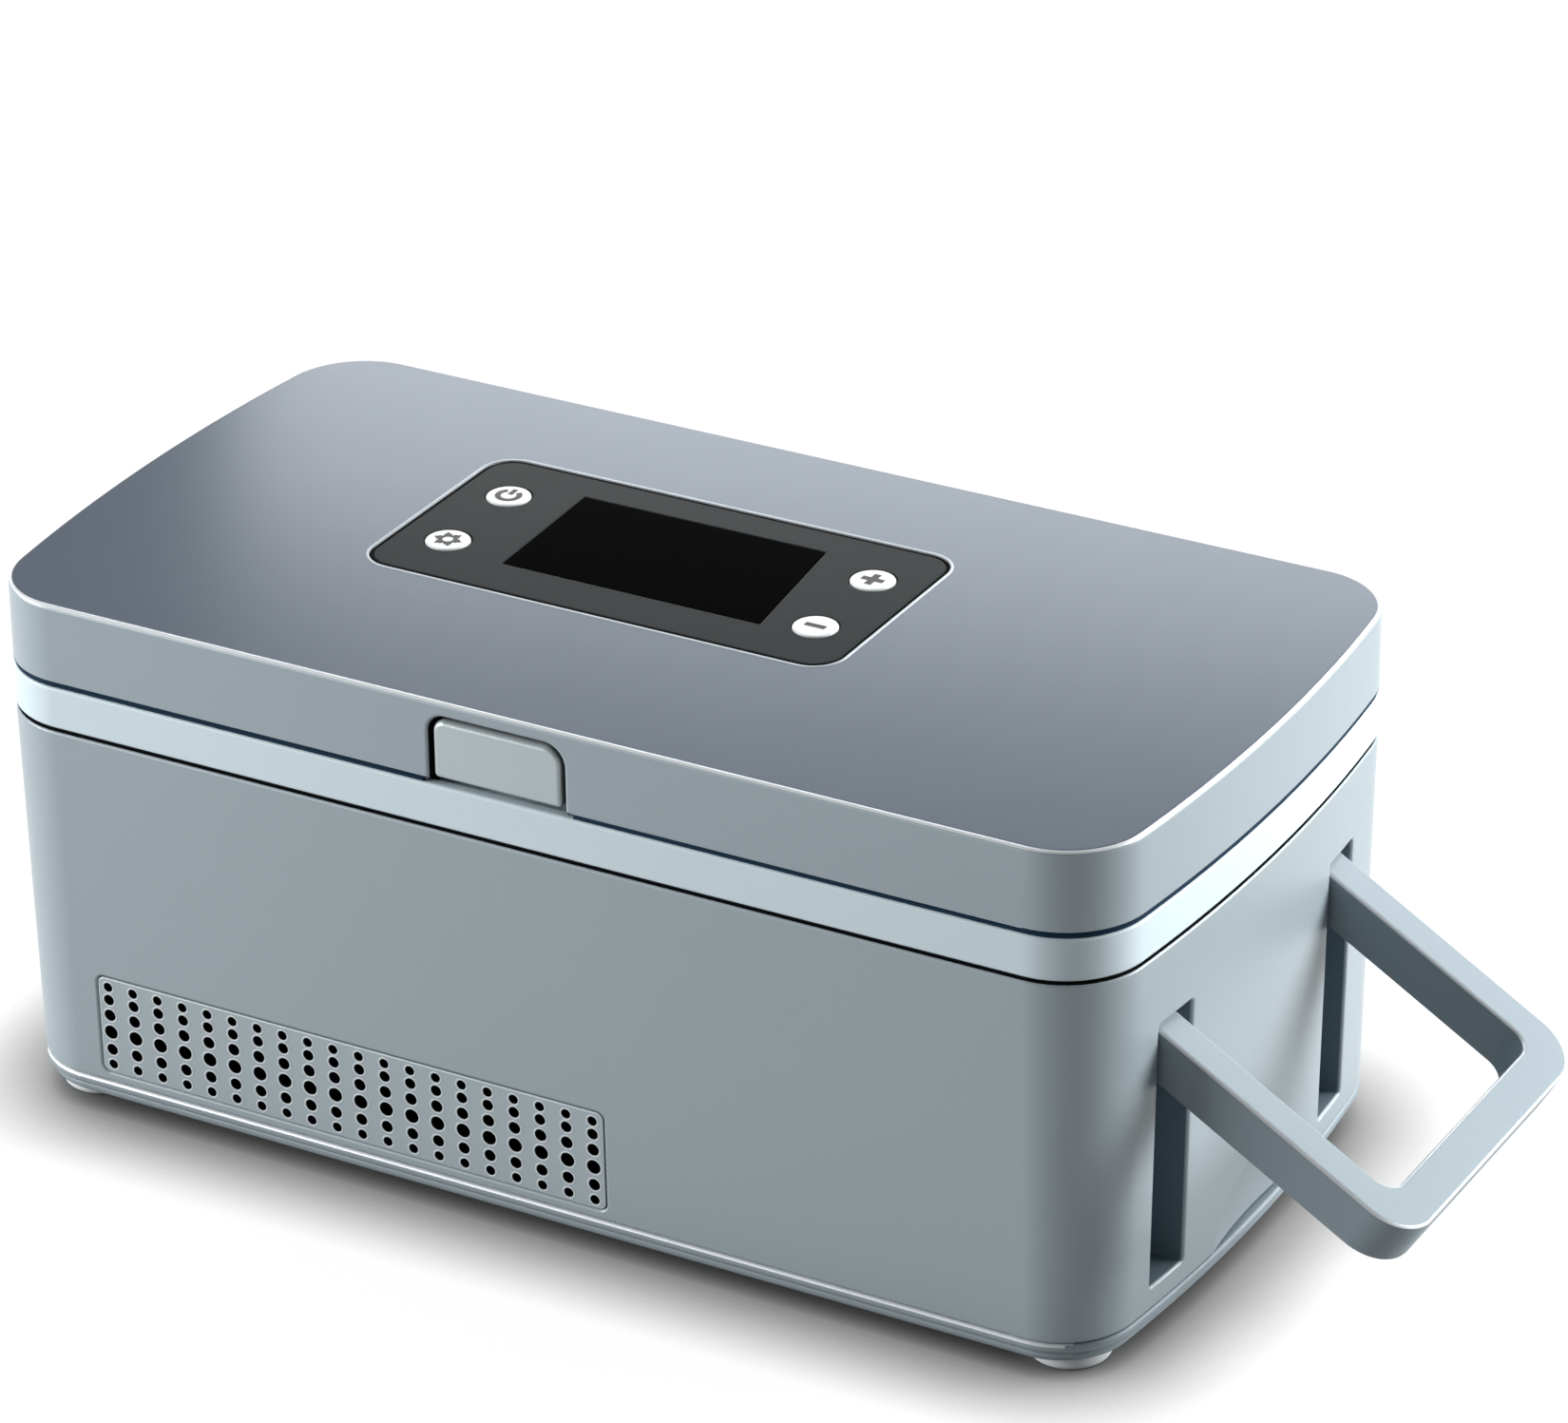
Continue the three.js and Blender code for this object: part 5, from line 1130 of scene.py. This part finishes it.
class CASE_OT_keys(bpy.types.Operator):
    """Four white keys with their symbols"""

    bl_idname = "cooling_case.keys"
    bl_label = "Keys"

    def execute(self, context):
        lift = context.scene.cooling_panel.icon_height
        axis, radius, flange, flange_height = 0.05 * MM, 4.7 * MM, 5.4 * MM, 0.8 * MM
        edge, symbol_size = 0.5 * MM, 1.14
        for node, symbol in SYMBOLS.items():
            x, y, _ = node_middle(node)
            low = node_low(node).z
            top = node_high(node).z - lift
            profile = [(axis, low), (flange, low), (flange, low + flange_height),
                       (radius, low + flange_height)]
            profile += [(radius - edge + edge * math.cos(angle),
                         top - edge + edge * math.sin(angle)) for angle in quarter_turns(6)]
            key = turned(node + "_cap", [*profile, (axis, top)])
            move(key, Matrix.Translation((x, y, 0)))
            body = node.replace("_button", "_key")
            finish_piece(soften(key), body, "key_white", "key", node)
            for i, outline in enumerate(symbol()):
                shape = [(x + symbol_size * px * MM, y + symbol_size * py * MM)
                         for px, py in outline]
                mark = prism(f"{node}_symbol_{i + 1}", shape, top - 0.05 * MM, top + lift)
                finish_piece(soften(mark), body, "screen_gloss", "ink")
        return {"FINISHED"}


# Symbols as outlines in millimetres

def plus_symbol():
    w, r = 0.66, 2.15
    return [[(-r, -w), (-w, -w), (-w, -r), (w, -r), (w, -w), (r, -w), (r, w), (w, w), (w, r),
             (-w, r), (-w, w), (-r, w)]]


def minus_symbol():
    return [bar(-2.0, 2.0, -0.62, 0.62)]


def power_symbol():
    """An open ring with a bar in its gap."""
    inner, outer, steps = 1.45, 2.5, 28
    gap = math.radians(34)
    start, end = QUARTER + gap, QUARTER + 2 * math.pi - gap
    ring = [*arc(0, 0, outer, start, end, steps), *arc(0, 0, inner, end, start, steps)]
    return [ring, bar(-0.48, 0.48, 0.4, 2.7)]


def gear_symbol():
    """Six round petals round a bare middle, as two halves."""
    middle, petal = 2.2, 0.6
    halves = []
    for start in (0, math.pi):
        rim = []
        for i in range(73):
            angle = start + math.pi * i / 72
            radius = middle + petal * math.cos(6 * angle) ** 3
            rim.append((radius * math.cos(angle), radius * math.sin(angle)))
        halves.append(rim + arc(0, 0, 1.0, start + math.pi, start, 16))
    return halves


SYMBOLS = {
    "power_button": power_symbol,
    "mode_button": gear_symbol,
    "plus_button": plus_symbol,
    "minus_button": minus_symbol,
}


def chamber(extra):
    """The chamber's outline, grown on every side."""
    return grown_rectangle(CHAMBER, extra, 12)


class CASE_OT_chamber(bpy.types.Operator):
    """Metal chamber, tray, lid liner and seal, seen when the lid is open"""

    bl_idname = "cooling_case.chamber"
    bl_label = "Chamber and lid liner"

    def execute(self, context):
        low, high = node_low("chamber_liner").z, node_high("chamber_liner").z
        wall, flange, floor_edge = 1.5 * MM, 6 * MM, 3 * MM
        levels = [(wall, low), (wall, high - wall), (flange, high - wall), (flange, high),
                  (0, high), (0, low + wall + floor_edge)]
        levels += [(-floor_edge * (1 - math.cos(angle)),
                    low + wall + floor_edge * (1 - math.sin(angle)))
                   for angle in quarter_turns(6, 1)]
        tub = soften(loft("chamber_tub", stack(chamber, levels)))
        finish_piece(tub, "case", "liner_metal", "liner", "chamber_liner")

        low, high = node_box("medicine_tray")
        size = high - low
        rib = 2 * MM
        tray = prism("pen_tray", rounded_rectangle(size.x, size.y, 11.4 * MM, 10),
                     low.z + 0.05 * MM, high.z)
        lanes = []
        lane_width = (size.y - 5 * rib) / 4
        for i in range(4):
            centre = (i - 1.5) * (lane_width + rib)
            reach = size.x - 2 * rib - (12 * MM if i in (0, 3) else 0)
            lanes.append(prism("lane", rounded_rectangle(reach, lane_width, 3 * MM, 6, 0, centre),
                               low.z + rib, high.z + MM))
        notch = prism_along_y("notch", circle(0, high.z + 3 * MM, 14 * MM, 48),
                              low.y + rib, high.y - rib)
        cut(tray, *lanes, notch)
        soften(tray, 0.5 * MM, 3, 40)
        finish_piece(tray, "case", "inner_plastic", "tray", "medicine_tray")

        plug_low = node_low("lid_liner").z
        low = lid_base() + 0.6 * MM
        plate = prism("lid_liner_plate", case_outline(2.95 * MM), low, low + 2 * MM)
        play, edge = 1.5 * MM, 1.5 * MM
        levels = [(-play - edge * (1 - math.sin(angle)), plug_low + edge * (1 - math.cos(angle)))
                  for angle in quarter_turns(6)]
        join(plate, loft("plug", stack(chamber, levels + [(-play, low + 0.5 * MM)])))
        room = block("room", (-20.1 * MM, -node_high("housing_shell").y, low - MM),
                     (10.1 * MM, -52.6 * MM, low + 3 * MM))
        heads = [prism("head_hole", circle(side_x * 109 * MM, side_y * 49 * MM, 3.1 * MM, 24),
                       low - MM, low + 1.6 * MM)
                 for side_x in (-1, 1) for side_y in (-1, 1)]
        cut(plate, room, *heads)
        soften(plate, 0.3 * MM, 2, 50)
        finish_piece(plate, "lid", "inner_plastic", "inner", "lid_liner")

        low, high = node_low("lid_gasket").z, node_high("lid_gasket").z
        inner, outer, slope, lip = 1.5 * MM, 6 * MM, 0.7 * MM, 0.3 * MM
        seal = loft("lid_seal", stack(chamber, [
            (inner, high), (outer, high), (outer - slope, low + lip), ((inner + outer) / 2, low),
            (inner + slope, low + lip),
        ]), ring_shaped=True)
        finish_piece(soften(seal), "lid", "seal_rubber", "gap", "lid_gasket")
        return {"FINISHED"}


class CASE_OT_inlet(bpy.types.Operator):
    """Barrel inlet in the rear wall"""

    bl_idname = "cooling_case.inlet"
    bl_label = "Power inlet"

    def execute(self, context):
        x, _, z = node_middle("dc_inlet")
        low, high = node_low("dc_inlet").y, node_high("dc_inlet").y
        body = prism_along_y("inlet_body", rounded_rectangle(12 * MM, 12 * MM, MM, 4, x, z),
                             low, low + 10 * MM)
        join(body, prism_along_y("barrel", circle(x, z, 4.6 * MM, 48), low + 5 * MM, high))
        cut(body, prism_along_y("bore", circle(x, z, 3.1 * MM, 40), high - 9 * MM, high + MM))
        soften(body, 0.3 * MM, 2, 45)
        finish_piece(body, "case", "inlet_black", "black", "dc_inlet")
        pin = prism_along_y("inlet_pin", circle(x, z, MM, 24), high - 9.5 * MM, high - MM)
        finish_piece(soften(pin, 0.25 * MM, 2, 45), "case", "steel", "steel")
        return {"FINISHED"}


class CASE_OT_inner_parts(bpy.types.Operator):
    """Finishes for the inner pieces, which keep their solids"""

    bl_idname = "cooling_case.inner_parts"
    bl_label = "Inner pieces"

    def execute(self, context):
        use = finishes()
        kept = {
            "steel": ["handle_pin_front", "handle_pin_rear", *HINGE_PINS, "catch_plate",
                      "temperature_probe", "battery_bracket", "latch_spring"],
            "foam": ["chamber_insulation", "lid_insulation"],
            "fins": ["heat_sink", "cold_block"],
            "ceramic": ["peltier_module"],
            "board": ["control_board", "display_board"],
            "wrap": ["battery_pack"],
            "black": ["fan_frame", "fan_rotor"],
            "screen": ["lcd_module"],
            "inner": ["latch_guide"],
        }
        for corner in CORNERS:
            kept["steel"] += ["base_screw_" + corner, "lid_screw_" + corner]
        for finish, nodes in kept.items():
            for node in nodes:
                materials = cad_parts[node].data.materials
                materials.clear()
                materials.append(use[finish])
        return {"FINISHED"}


# Studio

def area_lamp(name, energy, size, place, target):
    data = bpy.data.lights.new(name, "AREA")
    data.shape = "RECTANGLE"
    data.size, data.size_y = size
    data.energy = energy
    lamp = bpy.data.objects.new(name, data)
    bpy.context.scene.collection.objects.link(lamp)
    lamp.location = place
    direction = Vector(target) - Vector(place)
    lamp.rotation_euler = direction.to_track_quat("-Z", "Y").to_euler()
    return lamp


def seen_by_camera(tree, rays, mirrored):
    """One for a ray that ends in the picture: straight, through glass or mirrored."""
    through = math_node(tree, "MAXIMUM", mirrored, rays["Is Transmission Ray"])
    return math_node(tree, "MAXIMUM", rays["Is Camera Ray"], through)


def add_floor(studio):
    """A floor that shows nearly white, darker where the case stands close over it."""
    reach = 12
    floor = make_object("floor", level_ring(bar(-reach, reach, -reach, reach),
                                            node_low("foot_front_left").z), [(0, 1, 2, 3)])
    material, tree, shader = new_material("floor_white")
    rays = new_node(tree, "LightPath").outputs
    seen = seen_by_camera(tree, rays, rays["Is Glossy Ray"])
    nearby = new_node(tree, "AmbientOcclusion", Distance=studio.shadow_reach)
    nearby.samples = 16
    shadow_contrast = 2.3
    glow = math_node(tree, "MULTIPLY", studio.floor_glow,
                     math_node(tree, "POWER", nearby.outputs["AO"], shadow_contrast))
    tones = [studio.floor_bounce] * 3, [studio.floor_seen] * 3
    feed(shader, Base_Color=mixed_colour(tree, seen, *tones), Roughness=0.9,
         Specular_IOR_Level=0.0, Emission_Color=(1, 1, 1, 1),
         Emission_Strength=math_node(tree, "MULTIPLY", seen, glow))
    floor.data.materials.append(material)


def add_sky(scene, studio):
    """A dim sky that shows white to the camera, and white near the horizon in mirrors."""
    world = bpy.data.worlds.new("studio_sky")
    scene.world = world
    world.use_nodes = True
    tree = world.node_tree
    rays = new_node(tree, "LightPath").outputs
    place = new_node(tree, "TexCoord").outputs["Generated"]
    height = new_node(tree, "SeparateXYZ", Vector=place).outputs["Z"]
    backdrop = new_node(tree, "MapRange", Value=height, From_Min=0.36, From_Max=0.06)
    backdrop.interpolation_type = "SMOOTHSTEP"
    mirrored = math_node(tree, "MULTIPLY", rays["Is Glossy Ray"], backdrop.outputs["Result"])
    seen = seen_by_camera(tree, rays, mirrored)
    strength = math_node(tree, "ADD", studio.sky,
                         math_node(tree, "MULTIPLY", seen, 1 - studio.sky))
    feed(tree.nodes["Background"], Color=(1, 1, 1, 1), Strength=strength)


def add_camera(scene, studio):
    """The camera that was fitted to the photo."""
    data = bpy.data.cameras.new("camera")
    data.sensor_width = 36
    data.sensor_fit = "HORIZONTAL"
    data.lens = studio.lens / MM
    data.clip_end = 50
    data.dof.use_dof = False
    camera = bpy.data.objects.new("camera", data)
    scene.collection.objects.link(camera)
    right = Vector((0.87351791, 0.48668863, -0.01003145))
    down = Vector((0.21159152, -0.39816591, -0.89257657))
    ahead = Vector((-0.43840106, 0.77755905, -0.45078424))
    turn = Matrix((right, -down, -ahead)).transposed().to_4x4()
    camera.matrix_world = Matrix.Translation((0.62098, -1.06384, 0.70652)) @ turn
    scene.camera = camera


class CASE_OT_studio(bpy.types.Operator):
    """White floor, soft lamps, even sky and the camera"""

    bl_idname = "cooling_case.studio"
    bl_label = "Studio"

    def execute(self, context):
        scene = context.scene
        studio = scene.cooling_studio
        add_floor(studio)
        add_sky(scene, studio)
        middle = (0.0, 0.0, 0.06)
        lid_middle = (0.02, 0.0, 0.112)
        for name, size, place, target in (
            ("left_lamp", (1.0, 0.6), (-1.09, -0.76, 0.34), middle),
            ("right_lamp", (0.9, 0.7), (1.01, 0.79, 0.45), middle),
            ("back_lamp", (0.4, 0.4), (0.28, 1.0, 0.85), middle),
            ("top_lamp", (0.55, 0.55), (-0.5, 0.25, 1.05), middle),
            ("rear_lamp", (0.46, 0.13), (-0.034, 0.27, 0.185), lid_middle),
        ):
            lamp = area_lamp(name, getattr(studio, name), size, place, target)
            lamp.visible_camera = name != "rear_lamp"
        add_camera(scene, studio)
        scene.view_settings.view_transform = "Standard"
        return {"FINISHED"}


class CASE_PT_sidebar(bpy.types.Panel):
    """Sizes, colours and pieces of the cooling case"""

    bl_label = "Cooling case"
    bl_idname = "CASE_PT_sidebar"
    bl_space_type = "VIEW_3D"
    bl_region_type = "UI"
    bl_category = "Cooling case"

    def draw(self, context):
        for holder in SETTINGS:
            box = self.layout.box()
            settings = getattr(context.scene, holder)
            for name in settings.__annotations__:
                box.prop(settings, name)
        for operator in PIECES:
            self.layout.operator(operator.bl_idname)


SETTINGS = {
    "cooling_case": CaseSizes,
    "cooling_panel": PanelSizes,
    "cooling_colours": CaseColours,
    "cooling_studio": StudioSettings,
}
PIECES = (
    CASE_OT_body, CASE_OT_band, CASE_OT_base, CASE_OT_grille, CASE_OT_handle, CASE_OT_lid,
    CASE_OT_latch, CASE_OT_panel, CASE_OT_keys, CASE_OT_chamber, CASE_OT_inlet,
    CASE_OT_inner_parts, CASE_OT_studio,
)


def register():
    for holder, settings in SETTINGS.items():
        bpy.utils.register_class(settings)
        setattr(bpy.types.Scene, holder, PointerProperty(type=settings))
    for operator in PIECES:
        bpy.utils.register_class(operator)
    bpy.utils.register_class(CASE_PT_sidebar)


def unregister():
    bpy.utils.unregister_class(CASE_PT_sidebar)
    for operator in reversed(PIECES):
        bpy.utils.unregister_class(operator)
    for holder, settings in SETTINGS.items():
        delattr(bpy.types.Scene, holder)
        bpy.utils.unregister_class(settings)


def main():
    register()
    for operator in PIECES:
        area, name = operator.bl_idname.split(".")
        getattr(getattr(bpy.ops, area), name)()


if __name__ == "__main__":
    main()
